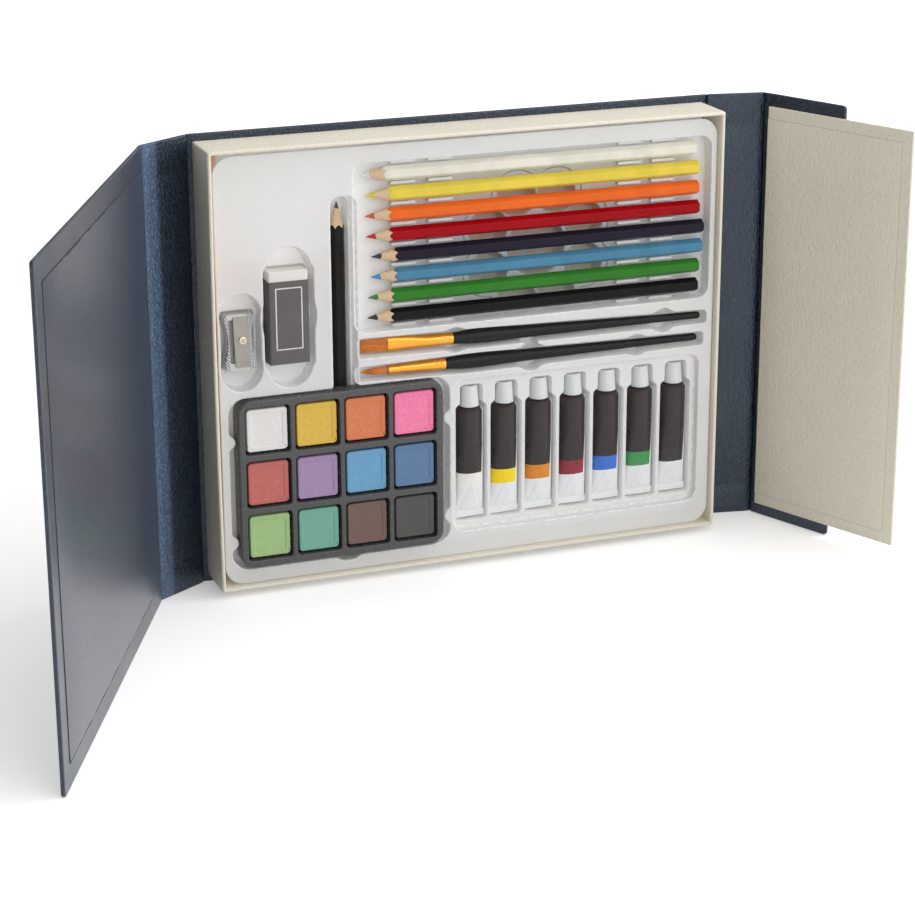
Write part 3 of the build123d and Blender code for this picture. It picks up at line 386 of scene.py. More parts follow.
# Pressed watercolour: chalky, evenly coloured, pitted with pinholes and dusted with its own powder
def make_cake_paint(name, colour_code):
    material, add, coords = start_material(f"Pressed_Paint_{name}")
    powder = add("TexNoise", {"Vector": coords, "Scale": 1 / (0.8 * mm), "Detail": 5.0})
    pits = add("TexVoronoi", {"Vector": coords, "Scale": 1 / (1.9 * mm)})
    uneven = add("TexNoise", {"Vector": coords, "Scale": 1 / (2.4 * mm), "Detail": 2.0})
    pit_edge = add("MapRange", (uneven, 0.46, 0.72, 0.0, 0.20), **soft)
    pitted = add("Math", (pits, pit_edge), operation="LESS_THAN")
    tints = []
    for value, strength in ((0.55, 1.1), (1.10, 0.92)):
        tint = {"Color": colour_code, "Value": value, "Saturation": strength}
        tints.append(add("HueSaturation", tint))
    deep, pale = tints
    dust = add("MapRange", (powder, 0.35, 0.70), **soft)
    dusted = add("Mix", {0: dust, 6: colour_code, 7: pale}, **colours_of)
    # The pinholes are painted a deeper, darker tint: painted shade in them
    shaded = add("Math", (pitted, 0.7), operation="MULTIPLY")
    grains = add("Math", (powder, 0.35), operation="MULTIPLY")
    height = add("Math", (pitted, -1.0, grains), operation="MULTIPLY_ADD")
    look = {
        "Base Color": add("Mix", {0: shaded, 6: dusted, 7: deep}, **colours_of),
        "Roughness": add("MapRange", (powder, 0.2, 0.8, 0.78, 0.92), **soft),
        "Normal": add("Bump", {"Height": height, "Distance": 0.10 * mm, "Strength": 0.8})
    }
    add("OutputMaterial", {"Surface": add("BsdfPrincipled", look)})
    return material


# Pencil lacquer: several thin dipped coats, glossy, with a trace of the wood's grain showing through
def make_lacquer(name, code):
    return drifting_finish(
        f"Pencil_Lacquer_{name}", (12, 2.0, even), (code, linear(code, 0.90)), (0.30, 0.40),
        (0.35, 0.65), relief=(0.5, 3.0, (1, 1, 0.04)), rise=0.02, Specular_IOR_Level=0.12
    )


# Waxy coloured core, turned to a point: dull with tiny smears
def make_core(name, code):
    return drifting_finish(
        f"Pencil_Core_{name}", (0.5, 4.0, (1, 1, 0.3)), (code, linear(code, 0.82)), (0.45, 0.62),
        (0.3, 0.7), rise=0.05, bump=0.6
    )


# Sharpened cedar-like wood: fine long grain with darker pores and the knife's faint rings
def make_wood():
    material, add, coords = start_material("Pencil_Wood_Sharpened")
    textures = []
    drawn_out = ((0.35, 4.0, (1, 1, 0.05)), (0.22, 2.0, (1, 1, 0.10)), (0.3, 1.0, (0.05, 0.05, 1.0)))
    for size, detail, stretch in drawn_out:
        drawn = add("Mapping", {"Vector": coords, "Scale": stretch})
        texture = {"Vector": drawn, "Scale": 1 / (size * mm), "Detail": detail}
        textures.append(add("TexNoise", texture))
    grain, pores, rings = textures
    share = add("MapRange", (grain, 0.25, 0.75), **soft)
    colour = add("Mix", {0: share, 6: "#cdae88", 7: "#dfc6a3"}, **colours_of)
    share = add("MapRange", (pores, 0.66, 0.80), **soft)
    height = add("Math", (rings, 0.6, grain), operation="MULTIPLY_ADD")
    look = {
        "Base Color": add("Mix", {0: share, 6: colour, 7: "#a9845c"}, **colours_of),
        "Roughness": add("MapRange", (grain, 0.2, 0.8, 0.66, 0.80), **soft),
        "Normal": add("Bump", {"Height": height, "Distance": 0.04 * mm, "Strength": 0.7})
    }
    add("OutputMaterial", {"Surface": add("BsdfPrincipled", look)})
    return material


# The eraser's card sleeve: warm grey ink on coated card, with a thin plain border line on its face
def make_sleeve_card(half_wide, border_low, border_high, line):
    material, add, coords = start_material("Grey_Printed_Card_Sleeve")
    place = add("SeparateXYZ", (coords,))
    middle = (border_low + border_high) / 2
    along = add("Math", (place.outputs["Z"], middle), operation="SUBTRACT")
    ahead = []
    for value, half in ((place.outputs["X"], half_wide), (along, (border_high - border_low) / 2)):
        out = add("Math", (value,), operation="ABSOLUTE")
        ahead.append(add("Math", (out, half), operation="SUBTRACT"))
    past = add("Math", ahead, operation="MAXIMUM")
    frame_line = add("Math", (past, 0.0, line / 2), operation="COMPARE")
    front = add("Math", (place.outputs["Y"], 0.0), operation="LESS_THAN")
    in_front = add("Math", (frame_line, front), operation="MULTIPLY")
    patchy = add("TexNoise", {"Vector": coords, "Scale": 1 / (1.1 * mm), "Detail": 3.0})
    rubbed_and_sheen = add("MapRange", (patchy, 0.30, 0.42, 0.15, 1.0), **soft)
    printed = add("Math", (in_front, rubbed_and_sheen), operation="MULTIPLY")
    cloud = add("TexNoise", {"Vector": coords, "Scale": 1 / (9 * mm), "Detail": 3.0})
    ink = add("Mix", {0: cloud, 6: "#4f4b4a", 7: "#5d5957"}, **colours_of)
    look = {
        "Base Color": add("Mix", {0: printed, 6: ink, 7: "#dededc"}, **colours_of),
        "Roughness": add("MapRange", (patchy, 0.2, 0.8, 0.38, 0.50), **soft),
        "Normal": add("Bump", {"Height": patchy, "Distance": 0.015 * mm, "Strength": 0.5})
    }
    add("OutputMaterial", {"Surface": add("BsdfPrincipled", look)})
    return material


# Die-cast magnesium: grey satin metal, knurled on the strips beside the blade, where the knurl's points
# are painted lighter and the ground between them darker: painted highlight and painted shade
def make_cast_metal(blade_low, blade_high, front_y):
    material, add, coords = start_material("Magnesium_Cast_Knurled")
    place = add("SeparateXYZ", (coords,))
    cloud = add("TexNoise", {"Vector": coords, "Scale": 1 / (2.5 * mm), "Detail": 4.0})
    cuts = []
    for lean in (45, -45):
        turned_by = add("Mapping", {"Vector": coords, "Rotation": (0, math.radians(lean), 0)})
        cuts.append(add("TexWave", {"Vector": turned_by, "Scale": 290.0}).outputs["Fac"])
    knurl = add("Math", cuts, operation="MULTIPLY")
    left = add("Math", (place.outputs["X"], blade_low), operation="LESS_THAN")
    right = add("Math", (place.outputs["X"], blade_high), operation="GREATER_THAN")
    beside = add("Math", (left, right), operation="ADD")
    front = add("Math", (place.outputs["Y"], front_y), operation="LESS_THAN")
    on_strip = add("Math", (beside, front), operation="MULTIPLY")
    pattern = add("Math", (knurl, on_strip), operation="MULTIPLY")
    grey = add("Mix", {0: cloud, 6: "#b4b4b3", 7: "#c8c8c6"}, **colours_of)
    # On the knurled strips the ground is painted darker and the points lighter: painted shade and
    # painted highlight
    ground = add("Mix", {0: on_strip, 6: grey, 7: "#88888a"}, **colours_of)
    points_up = add("MapRange", (pattern, 0.25, 0.65), **soft)
    height = add("Math", (cloud, 0.06, pattern), operation="MULTIPLY_ADD")
    look = {
        "Base Color": add("Mix", {0: points_up, 6: ground, 7: "#e9e9ea"}, **colours_of),
        "Metallic": 0.4, "Roughness": add("MapRange", (cloud, 0.3, 0.7, 0.38, 0.50), **soft),
        "Normal": add("Bump", {"Height": height, "Distance": 0.22 * mm, "Strength": 0.9})
    }
    add("OutputMaterial", {"Surface": add("BsdfPrincipled", look)})
    return material


# Lacquered soft metal tube: white enamel, a dark bare label that stops short of one side, and a band
# in the paint's colour under it. label and band are heights on the tube, edge is where the label stops
def make_tube_enamel(name, band_code, label, band, edge):
    material, add, coords = start_material(f"Enamelled_Tube_{name}")
    place = add("SeparateXYZ", (coords,))
    beside = add("Math", (place.outputs["X"], edge), operation="LESS_THAN")
    dents = add("TexNoise", {"Vector": coords, "Scale": 1 / (9 * mm), "Detail": 0.5})
    fine = add("TexNoise", {"Vector": coords, "Scale": 1 / (0.4 * mm), "Detail": 2.0})
    colour = add("Mix", {0: dents, 6: "#e0e2e4", 7: "#e9eaeb"}, **colours_of)
    dark = add("Mix", {0: dents, 6: "#2b2223", 7: "#352b2b"}, **colours_of)
    for (low, high), print_colour in ((label, dark), (band, band_code)):
        level = (place.outputs["Z"], (low + high) / 2, (high - low) / 2)
        within = add("Math", level, operation="COMPARE")
        share = add("Math", (within, beside), operation="MULTIPLY")
        colour = add("Mix", {0: share, 6: colour, 7: print_colour}, **colours_of)
    height = add("Math", (fine, 0.01, dents), operation="MULTIPLY_ADD")
    look = {
        "Base Color": colour, "Roughness": add("MapRange", (dents, 0.3, 0.7, 0.24, 0.34), **soft),
        "Specular IOR Level": 0.4,
        "Normal": add("Bump", {"Height": height, "Distance": 0.08 * mm, "Strength": 0.4})
    }
    add("OutputMaterial", {"Surface": add("BsdfPrincipled", look)})
    return material


leatherette = make_leatherette()
turned_in_cloth = make_turned_in_cloth()
cream_wrap = make_cream_wrap()
pad_cover_card = make_pad_cover()
sheet_edges = make_sheet_edges()
formed_plastic = make_formed_sheet()
palette_plastic = make_palette_plastic()
wood = make_wood()
# The formed sheet at its folds: glossy, and painted grey, so each draws a thin grey line of painted
# shade with glints
formed_fold = drifting_finish(
    "Milk_White_Sheet_Fold_Painted_Shade", (3, 3.0, even), ("#d2d4d6", "#f0f1f1"), (0.10, 0.20),
    (0.35, 0.65), rise=0.2, IOR=1.49
)
# Moulded dark grey plastic: satin, with a fine spark-eroded texture that softens its highlights
pan_plastic = drifting_finish(
    "Charcoal_Plastic_Moulded", (2.5, 5.0, even), ("#484849", "#68686b"), (0.24, 0.28), (0.66, 0.80),
    relief=(0.25, 3.0, even), rise=0.004, bump=0.6, IOR=1.49
)
# Black handle lacquer: deep and glossy, with fine runs along the dip
handle_lacquer = drifting_finish(
    "Black_Handle_Lacquer", (2.0, 2.0, (1, 1, 0.15)), ("#101011", "#19191a"), (0.26, 0.36), rise=0.02,
    bump=0.6, Specular_IOR_Level=0.22
)
# Drawn and anodised ferrule metal: warm gold, polished along its length with faint draw lines
gold_metal = drifting_finish(
    "Gold_Ferrule_Drawn", (5, 3.0, even), ("#dd9433", "#ecab4c"), (0.18, 0.30),
    relief=(0.12, 2.0, (1, 1, 0.02)), rise=0.006, Metallic=1.0
)
# Synthetic brush filament: amber nylon, glossier along each hair; its colour drifts between dark and
# light amber from hair to hair, painted shade within the bundle
filament = drifting_finish(
    "Amber_Nylon_Filament", (0.25, 2.0, (1, 1, 0.03)), ("#bb6220", "#f39c42"), (0.32, 0.45), (0.3, 0.7),
    Subsurface_Weight=0.1, Subsurface_Scale=0.3 * mm, Sheen_Weight=0.2
)
# White vinyl block: soft edged, faintly translucent, with a powdery skin
vinyl = drifting_finish(
    "White_Vinyl_Block", (1.2, 4.0, even), ("#dcdad4", "#e6e4df"), (0.50, 0.66), steps=(0.2, 0.8),
    rise=0.04, bump=0.6, Subsurface_Weight=0.15, Subsurface_Scale=1.5 * mm
)
# Ground steel: bright with fine grinding lines across its width
ground_steel = drifting_finish(
    "Blade_Steel_Ground", (6, 3.0, even), ("#86837d", "#9c988f"), (0.30, 0.42),
    relief=(0.10, 2.0, (0.03, 1, 1)), rise=0.008, Metallic=1.0
)
# Brass screw: turned and tumbled, its colour and gloss drifting in fine patches
brass = drifting_finish(
    "Brass_Turned_Tumbled", (0.6, 4.0, even), ("#bfb294", "#ded4ba"), (0.20, 0.36), rise=0.02,
    Metallic=1.0
)
# Nickel-plated magnet, hidden in its board: a thin bright plating over a coarse core
nickel = drifting_finish(
    "Nickel_Plated_Magnet", (1.5, 3.0, even), ("#b9bbbd", "#cfd0d2"), (0.22, 0.34), Metallic=1.0
)
# Natural polypropylene caps: white and waxy, light passing a little way into them
cap_plastic = drifting_finish(
    "White_Polypropylene_Moulded", (1.2, 3.0, even), ("#d3d5d6", "#dddfe0"), (0.28, 0.38), rise=0.015,
    IOR=1.49, Subsurface_Weight=0.3, Subsurface_Scale=2.0 * mm
)


# Shapes. Each is (points in millimetres, faces)
def loft(rings, round_trip=True, start_cap=False, end_cap=False):
    """Quads between rings of equal length. A cap is one face over the first or last ring."""
    rings = np.asarray(rings, float)
    count, around, _ = rings.shape
    index = np.arange(count * around).reshape(count, around)
    last = around if round_trip else around - 1
    faces = [
        (index[i, j], index[i, (j + 1) % around], index[i + 1, (j + 1) % around], index[i + 1, j])
        for i in range(count - 1) for j in range(last)
    ]
    if start_cap:
        faces.append(tuple(index[0, ::-1]))
    if end_cap:
        faces.append(tuple(index[-1]))
    return rings.reshape(-1, 3), faces


def hoop(angles, wide, thick, height):
    """A ring round z, by its angles, its radii along x and y, and its height."""
    return np.stack([wide * np.cos(angles), thick * np.sin(angles), np.full(len(angles), height)], -1)


def joined(*shapes):
    """Several shapes as one, with the number of each face's shape."""
    points, faces, parts, start = [], [], [], 0
    for number, (some_points, some_faces) in enumerate(shapes):
        points.append(np.asarray(some_points, float))
        faces += [tuple(start + i for i in face) for face in some_faces]
        parts += [number] * len(some_faces)
        start += len(some_points)
    return np.concatenate(points), faces, parts


def rounded_box(size, radius, cuts=(1, 1, 1), arc_steps=4):
    """A box about its middle with every edge and corner rounded."""
    half = np.array(size, float) / 2
    sides = []
    for axis in range(3):
        arc = [radius * math.tan(math.pi / 4 * k / arc_steps) for k in range(arc_steps, 0, -1)]
        inner = half[axis] - radius
        flat = np.linspace(-inner, inner, cuts[axis] + 1)
        sides.append(
            np.concatenate([[-inner - a for a in arc], flat, [inner + a for a in reversed(arc)]])
        )
    points, faces = [], []
    for axis in range(3):
        a, b = (axis + 1) % 3, (axis + 2) % 3
        for side in (-1, 1):
            first, second = np.meshgrid(sides[a], sides[b], indexing="ij")
            grid = np.zeros((*first.shape, 3))
            grid[..., axis] = side * half[axis]
            grid[..., a] = first
            grid[..., b] = second
            start = sum(len(p) for p in points)
            rows, columns = first.shape
            points.append(grid.reshape(-1, 3))
            for i in range(rows - 1):
                for j in range(columns - 1):
                    k = start + i * columns + j
                    face = (k, k + columns, k + columns + 1, k + 1)
                    faces.append(face if side > 0 else face[::-1])
    points = np.concatenate(points)
    inner = np.clip(points, -(half - radius), half - radius)
    out = points - inner
    length = np.linalg.norm(out, axis=1, keepdims=True)
    return inner + radius * out / np.maximum(length, 1e-9), faces


def new_piece(
    name, points, faces, materials, body, stands_for=(), slot=None, where=None, parts=None, crease=38
):
    """Makes one piece. Points are in millimetres in the frame given by where, parts says which material
    each face has, and edges that turn by more than crease degrees stay sharp."""
    mesh = bpy.data.meshes.new(name)
    mesh.from_pydata((np.asarray(points) * mm).tolist(), [], [tuple(map(int, f)) for f in faces])
    for material in materials:
        mesh.materials.append(material)
    if parts is not None:
        mesh.polygons.foreach_set("material_index", np.asarray(parts, dtype=np.int32))
    work = bmesh.new()
    work.from_mesh(mesh)
    bmesh.ops.remove_doubles(work, verts=work.verts, dist=0.002 * mm)
    bmesh.ops.recalc_face_normals(work, faces=work.faces)
    limit = math.radians(crease)
    for face in work.faces:
        face.smooth = True
    for edge in work.edges:
        edge.smooth = len(edge.link_faces) != 2 or edge.calc_face_angle() < limit
    work.to_mesh(mesh)
    work.free()
    piece = bpy.data.objects.new(name, mesh)
    bpy.context.scene.collection.objects.link(piece)
    if where is not None:
        piece.matrix_world = where
    bpy.context.view_layer.update()
    if body:
        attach(piece, body)
    if stands_for:
        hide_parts(*stands_for)
    return piece


def keep_node(node, material, bevel=0.0):
    """Carries a CAD node over with a material, and eased edges where a bevel is given."""
    piece = frame["nodes"][node]
    for place in piece.material_slots:
        place.material = material
    if bevel:
        modifier = piece.modifiers.new("Eased_Edges", "BEVEL")
        modifier.width = bevel * mm
        modifier.segments = 2
        modifier.limit_method = "ANGLE"
        modifier.angle_limit = math.radians(35)
        modifier.harden_normals = False
    return piece


# Covered boards: a board wrapped in leatherette, from just off its hinge line to its end. One that
# carries another ends in the cloth that the next one turns on, and its inner face bends down to it
board = 2.0
board_start = 1.1
wrap_round = 0.7
bend_long = 4.6
seam_in = 0.16
seam_at = 16.0
far_corner = 2.0
end_steps = (0.0, 0.08, 0.25, 0.5, 0.8, 1.2, 1.6, 2.0, 2.6)


def board_section(start, stop, rolls, inner):
    """A board's outline seen from above, going round it. inner is the sign of its inner face's y."""
    half = board / 2
    face = [
        (start + wrap_round * (1 - math.sin(a)), half * math.cos(a))
        for a in np.linspace(math.pi / 2, 0, 7)
    ]
    outer = [*face, (start + 1.6, half), ((start + stop) / 2, half)]
    bent = list(outer)
    if rolls:
        outer += [(stop - bend_long, half), (stop - 1.0, half)]
        outer += [
            (stop + half * math.sin(a), half * math.cos(a)) for a in np.linspace(0, math.pi / 2, 9)
        ]
        for t in np.linspace(0, 1, 11):
            bent.append((stop - bend_long + (bend_long + half) * t, half * (1 - t**2.3)))
    else:
        ends = [
            (stop - wrap_round * (1 - math.sin(a)), half * math.cos(a))
            for a in np.linspace(0, math.pi / 2, 9)
        ]
        outer += [(stop - 6.0, half), (stop - 2.0, half), *ends]
        bent += [(stop - 6.0, half), (stop - 2.0, half), *ends]
    whole = [(x, inner * y) for x, y in bent] + [(x, -inner * y) for x, y in reversed(outer[:-1])][:-1]
    return np.array(whole)


def wrapped_rings(outline_at):
    """Rings up a board, drawn in at the top and bottom where the cloth wraps round its edges."""
    heights = [*end_steps, seam_at - 0.4, seam_at, seam_at + 0.4]
    heights += [case_height * t for t in (0.25, 0.5, 0.75)]
    heights += [case_height - h for h in (seam_at + 0.4, seam_at, seam_at - 0.4, *reversed(end_steps))]
    rings = []
    for h in heights:
        near = min(h, case_height - h)
        inset = 0.0
        if near < wrap_round:
            inset = wrap_round - math.sqrt(wrap_round**2 - (wrap_round - near) ** 2)
        outline = outline_at(near)
        middle = (outline[:, 0].min() + outline[:, 0].max()) / 2
        reach = (outline[:, 0].max() - outline[:, 0].min()) / 2
        outline[:, 0] = middle + (outline[:, 0] - middle) * (reach - inset) / reach
        outline[:, 1] *= (board / 2 - inset) / (board / 2)
        rings.append([(x, y, h) for x, y in outline])
    return rings


def covered_board(name, where, start, stop, rolls, inner, cloth=leatherette):
    """One covered board, standing on its edge, with softly wrapped edges."""

    def outline_at(near):
        outline = board_section(start, stop, rolls, inner)
        if not rolls and near < far_corner:
            pull = far_corner - math.sqrt(max(0.0, far_corner**2 - (far_corner - near) ** 2))
            outline[outline[:, 0] > stop - 2.5, 0] -= pull
        if rolls and abs(near - seam_at) < 0.2:
            face = (outline[:, 1] * inner > board / 2 - 0.01) & (outline[:, 0] < stop - bend_long + 0.1)
            outline[face, 1] -= inner * seam_in
        return outline

    points, faces = loft(wrapped_rings(outline_at), True, True, True)
    parts = [0] * len(faces)
    if name == "front_cover":
        # The cover's inner face is the cloth that is turned in over its edges
        middles = [np.mean([points[k] for k in face], axis=0) for face in faces]
        parts = [int(m[1] * inner > board / 2 - 0.35 and m[0] > start + 1.0) for m in middles]
    return new_piece(
        f"{name}_covered", points, faces, [cloth, turned_in_cloth], name, [name], "cover_cloth", where,
        parts, crease=50
    )


def hinge_place(joint):
    """A fold's line in the plan, in metres, and its turn from flat in degrees."""
    found = joints[joint]
    return Vector((found["pos_m"][0], found["pos_m"][1], 0)), found["range_deg"][1]


left_hinge, left_turn = hinge_place("left_spine_fold")
cover_hinge, cover_turn = hinge_place("cover_fold")
right_hinge, right_turn = hinge_place("right_spine_fold")
flap_hinge, flap_turn = hinge_place("flap_fold")


def board_frame(origin, turn, side):
    """A board's frame: x from its hinge outwards, z up. side is -1 at the left and 1 at the right."""
    angle = math.radians(turn)
    out = Vector((side * math.cos(angle), -math.sin(angle), 0))
    return axes(origin, out, Vector((0, 0, 1)).cross(out))


left_frame = board_frame(left_hinge, left_turn, -1)
cover_frame = board_frame(cover_hinge, left_turn + cover_turn, -1)
right_frame = board_frame(right_hinge, right_turn, 1)
flap_frame = board_frame(flap_hinge, right_turn + flap_turn, 1)
left_span = (cover_hinge - left_hinge).length / mm
right_span = (flap_hinge - right_hinge).length / mm


def reach_along(node, where):
    """How far a node reaches along a frame's x, in millimetres."""
    back = where.inverted()
    return max((back @ v.co).x for v in frame["nodes"][node].data.vertices) / mm


cover_span = reach_along("front_cover", cover_frame)
flap_span = reach_along("right_flap", flap_frame)

# The left spine's inner face gets a painted highlight band towards its fold, this wide in millimetres
sheen_band_wide = 11.0
sheen_painted_leatherette = make_leatherette((left_span - sheen_band_wide) * mm)
covered_board("left_spine", left_frame, board_start, left_span, True, 1, sheen_painted_leatherette)
covered_board("right_spine", right_frame, board_start, right_span, True, -1)
covered_board("front_cover", cover_frame, board_start, cover_span, False, 1)
covered_board("right_flap", flap_frame, board_start, flap_span, False, -1)


def back_outline(_):
    """The back panel's outline: a bent and rolled end at each side. Its inner face is its front."""
    right = board_section(0.0, right_hinge.x / mm, True, -1)
    right = right[right[:, 0] > 10.0]
    return np.concatenate([right, right[::-1] * (-1.0, 1.0)])


points, faces = loft(wrapped_rings(back_outline), True, True, True)
new_piece(
    "back_panel_covered", points, faces, [leatherette], "case", ["back_panel"], "cover_cloth", crease=50
)


# Hinge cloth: a strip glued over each fold on its outer side
def hinge_cloth(name, hinge, parent_frame, child_frame, side):
    """A strip from the parent board's outer face round the roll to the child's."""
    parent_out = side * Vector(parent_frame.col[1][:3])
    child_out = side * Vector(child_frame.col[1][:3])
    parent_back = -Vector(parent_frame.col[0][:3])
    child_on = Vector(child_frame.col[0][:3])
    lap, near_fold = 4.0, 1.2
    radius, glued = board / 2 + 0.06, board / 2 + 0.03
    path = [parent_back * lap + parent_out * glued, parent_back * near_fold + parent_out * radius]
    for share in np.linspace(0, 1, 9):
        path.append((parent_out * (1 - share) + child_out * share).normalized() * radius)
    path += [child_on * near_fold + child_out * radius, child_on * lap + child_out * glued]
    centre = hinge / mm
    levels = [0.4, case_height * 0.25, case_height * 0.5, case_height * 0.75, case_height - 0.4]
    rings = [[(centre + p + Vector((0, 0, h)))[:] for p in path] for h in levels]
    points, faces = loft(rings, False)
    piece = new_piece(name, points, faces, [leatherette], None, (), "cover_cloth")
    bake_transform(piece)


case_frame_left = board_frame(left_hinge, 0, -1)
case_frame_right = board_frame(right_hinge, 0, 1)
hinge_cloth("left_fold_cloth", left_hinge, case_frame_left, left_frame, -1)
hinge_cloth("cover_fold_cloth", cover_hinge, left_frame, cover_frame, -1)
hinge_cloth("right_fold_cloth", right_hinge, case_frame_right, right_frame, 1)
hinge_cloth("flap_fold_cloth", flap_hinge, right_frame, flap_frame, 1)


# Sheets laid on the boards
def board_box(node, where):
    """A node's middle and size along a board's axes, in millimetres."""
    back = where.inverted()
    corners = np.array([(back @ v.co)[:] for v in frame["nodes"][node].data.vertices]) / mm
    low, high = corners.min(0), corners.max(0)
    return (low + high) / 2, high - low


middle, size = board_box("cover_lining", cover_frame)
points, faces = rounded_box(size, 0.11, (6, 1, 6), 2)
endpaper = make_endpaper(size[0] / 2 * mm, size[2] / 2 * mm)
new_piece(
    "cover_lining_sheet", points, faces, [endpaper], "front_cover", ["cover_lining"], "cover_lining",
    cover_frame @ Matrix.Translation(Vector(middle) * mm)
)
middle, size = board_box("closure_tongue", flap_frame)
tongue_outer = 1 if middle[1] > 0 else -1
points, faces = rounded_box(size, 0.65, (8, 1, 8), 4)
new_piece(
    "closure_tongue_wrapped", points + middle, faces, [cream_wrap], "right_flap", ["closure_tongue"],
    "cream_board", flap_frame
)
# The inner sheet of the tongue's wrapping stops short of its edges, over the turned-in border
inner_border = 6.0
inner_sheet = 0.14
inner_size = (size[0] - inner_border, inner_sheet, size[2] - 2 * inner_border)
points, faces = rounded_box(inner_size, 0.06, (6, 1, 6), 2)
inner_shift = np.array([-inner_border / 2, tongue_outer * (size[1] / 2 - 0.02), 0.0])
new_piece(
    "closure_tongue_face", points, faces,
    [make_cream_wrap(inner_size[0] / 2 * mm, inner_size[2] / 2 * mm)], "right_flap", (), "cream_board",
    flap_frame @ Matrix.Translation(Vector(middle + inner_shift) * mm)
)
for node in ("cover_magnets", "tongue_magnets"):
    keep_node(node, nickel)


# Tray
def rounded_outline(width, height, radius, per_side=24, per_corner=6):
    """A rounded rectangle about its middle, always with the same number of points."""
    radius = max(min(radius, width / 2, height / 2), 1e-3)
    points = []
    for k, (sx, sy) in enumerate(((1, 1), (-1, 1), (-1, -1), (1, -1))):
        cx, cy = sx * (width / 2 - radius), sy * (height / 2 - radius)
        for i in range(per_corner + 1):
            a = math.pi / 2 * (k + i / per_corner)
            points.append((cx + radius * math.cos(a), cy + radius * math.sin(a)))
        nx, ny = points[-1]
        following = ((-1, 1), (-1, -1), (1, -1), (1, 1))[k]
        ex = following[0] * (width / 2 - radius) + radius * math.cos(math.pi / 2 * (k + 1))
        ey = following[1] * (height / 2 - radius) + radius * math.sin(math.pi / 2 * (k + 1))
        for i in range(1, per_side):
            points.append((nx + (ex - nx) * i / per_side, ny + (ey - ny) * i / per_side))
    return np.array(points)


tray_low, tray_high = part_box("tray")
tray_width = (tray_high.x - tray_low.x) / mm
tray_height = (tray_high.z - tray_low.z) / mm
tray_depth = (tray_high.y - tray_low.y) / mm
tray_wall = 2.0
tray_floor = 1.6
rim_r = 0.95
wall_bow = 0.5
tray_profile = [(0.0, 0.0), (0.0, 0.5), (0.0, tray_depth / 2), (0.0, tray_depth - 2 * rim_r)]
for k in range(9):
    a = math.pi * k / 8
    tray_profile.append((rim_r - rim_r * math.cos(a), tray_depth - rim_r + rim_r * math.sin(a)))
tray_profile += [
    (tray_wall, tray_depth - 2 * rim_r), (tray_wall, tray_depth / 2), (tray_wall, tray_floor)
]
tray_rings = []
for inset, rise in tray_profile:
    outline = rounded_outline(
        tray_width - 2 * inset, tray_height - 2 * inset, 0.9 if inset < 1.5 else 0.3
    )
    swell = wall_bow * np.cos(math.pi * outline[:, 1] / tray_height) * (rise / tray_depth)
    left = outline[:, 0] < -tray_width / 2 + 4
    outline[left, 0] -= swell[left]
    tray_rings.append([(x, y, rise) for x, y in outline])
points, faces = loft(tray_rings, True, True, True)
tray_frame = axes((0, tray_high.y, (tray_low.z + tray_high.z) / 2), (1, 0, 0), (0, 0, 1))
new_piece(
    "tray_wrapped", points, faces, [cream_wrap], "case", ["tray"], "cream_board", tray_frame, crease=45
)

# Pad: a block of sheets under its printed cover
pad_low, pad_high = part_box("paper_pad")
pad_size = (pad_high - pad_low) / mm
pad_middle = (pad_low + pad_high) / 2
cover_card = 0.4
points, faces = rounded_box(
    (pad_size.x - 1, pad_size.y - cover_card, pad_size.z - 1), 0.3, (4, 1, 4), 2
)
new_piece(
    "paper_pad_sheets", points + np.array([0, cover_card / 2, 0]), faces, [sheet_edges], "case",
    ["paper_pad"], "pad_paper", Matrix.Translation(pad_middle)
)
points, faces = rounded_box((pad_size.x, cover_card, pad_size.z), 0.18, (4, 1, 4), 2)
new_piece(
    "paper_pad_cover", points - np.array([0, (pad_size.y - cover_card) / 2, 0]), faces,
    [pad_cover_card], "case", (), "pad_paper", Matrix.Translation(pad_middle)
)


# Distances to outlines in a plane, in millimetres: negative inside
def rectangle_field(u, v, half_u, half_v, radius):
    def field(p):
        q = np.abs(p - (u, v)) - (half_u - radius, half_v - radius)
        outside = np.linalg.norm(np.maximum(q, 0), axis=-1)
        return outside + np.minimum(q.max(axis=-1), 0) - radius

    return field


def circle_field(u, v, radius):
    return lambda p: np.linalg.norm(p - (u, v), axis=-1) - radius


def path_field(corners, radius):
    """A convex outline through corners, anticlockwise, grown by a radius."""
    corners = np.array(corners, float)

    def field(p):
        best = np.full(p.shape[:-1], 1e9)
        inside = np.full(p.shape[:-1], -1e9)
        for a, b in zip(corners, np.roll(corners, -1, axis=0)):
            edge = b - a
            share = np.clip(((p - a) @ edge) / (edge @ edge), 0, 1)
            best = np.minimum(best, np.linalg.norm(p - a - share[..., None] * edge, axis=-1))
            normal = np.array([edge[1], -edge[0]]) / np.linalg.norm(edge)
            inside = np.maximum(inside, (p - a) @ normal)
        return np.where(inside < 0, -best, best) - radius

    return field


def merged(fields, ease):
    """The union of outlines, with its inner corners rounded."""

    def field(p):
        total = fields[0](p)
        for other in fields[1:]:
            value = other(p)
            share = np.clip(0.5 + 0.5 * (value - total) / ease, 0, 1)
            total = value * (1 - share) + total * share - ease * share * (1 - share)
        return total

    return field


def trimmed(body, cuts, ease):
    """An outline with others taken away from it, with rounded corners."""
    whole = merged([lambda p: -body(p), *cuts], ease)
    return lambda p: -whole(p)


def slope_of(field, p, step=0.02):
    along_u = field(p + (step, 0)) - field(p - (step, 0))
    along_v = field(p + (0, step)) - field(p - (0, step))
    slope = np.stack([along_u, along_v], -1)
    return slope / np.maximum(np.linalg.norm(slope, axis=-1, keepdims=True), 1e-9)


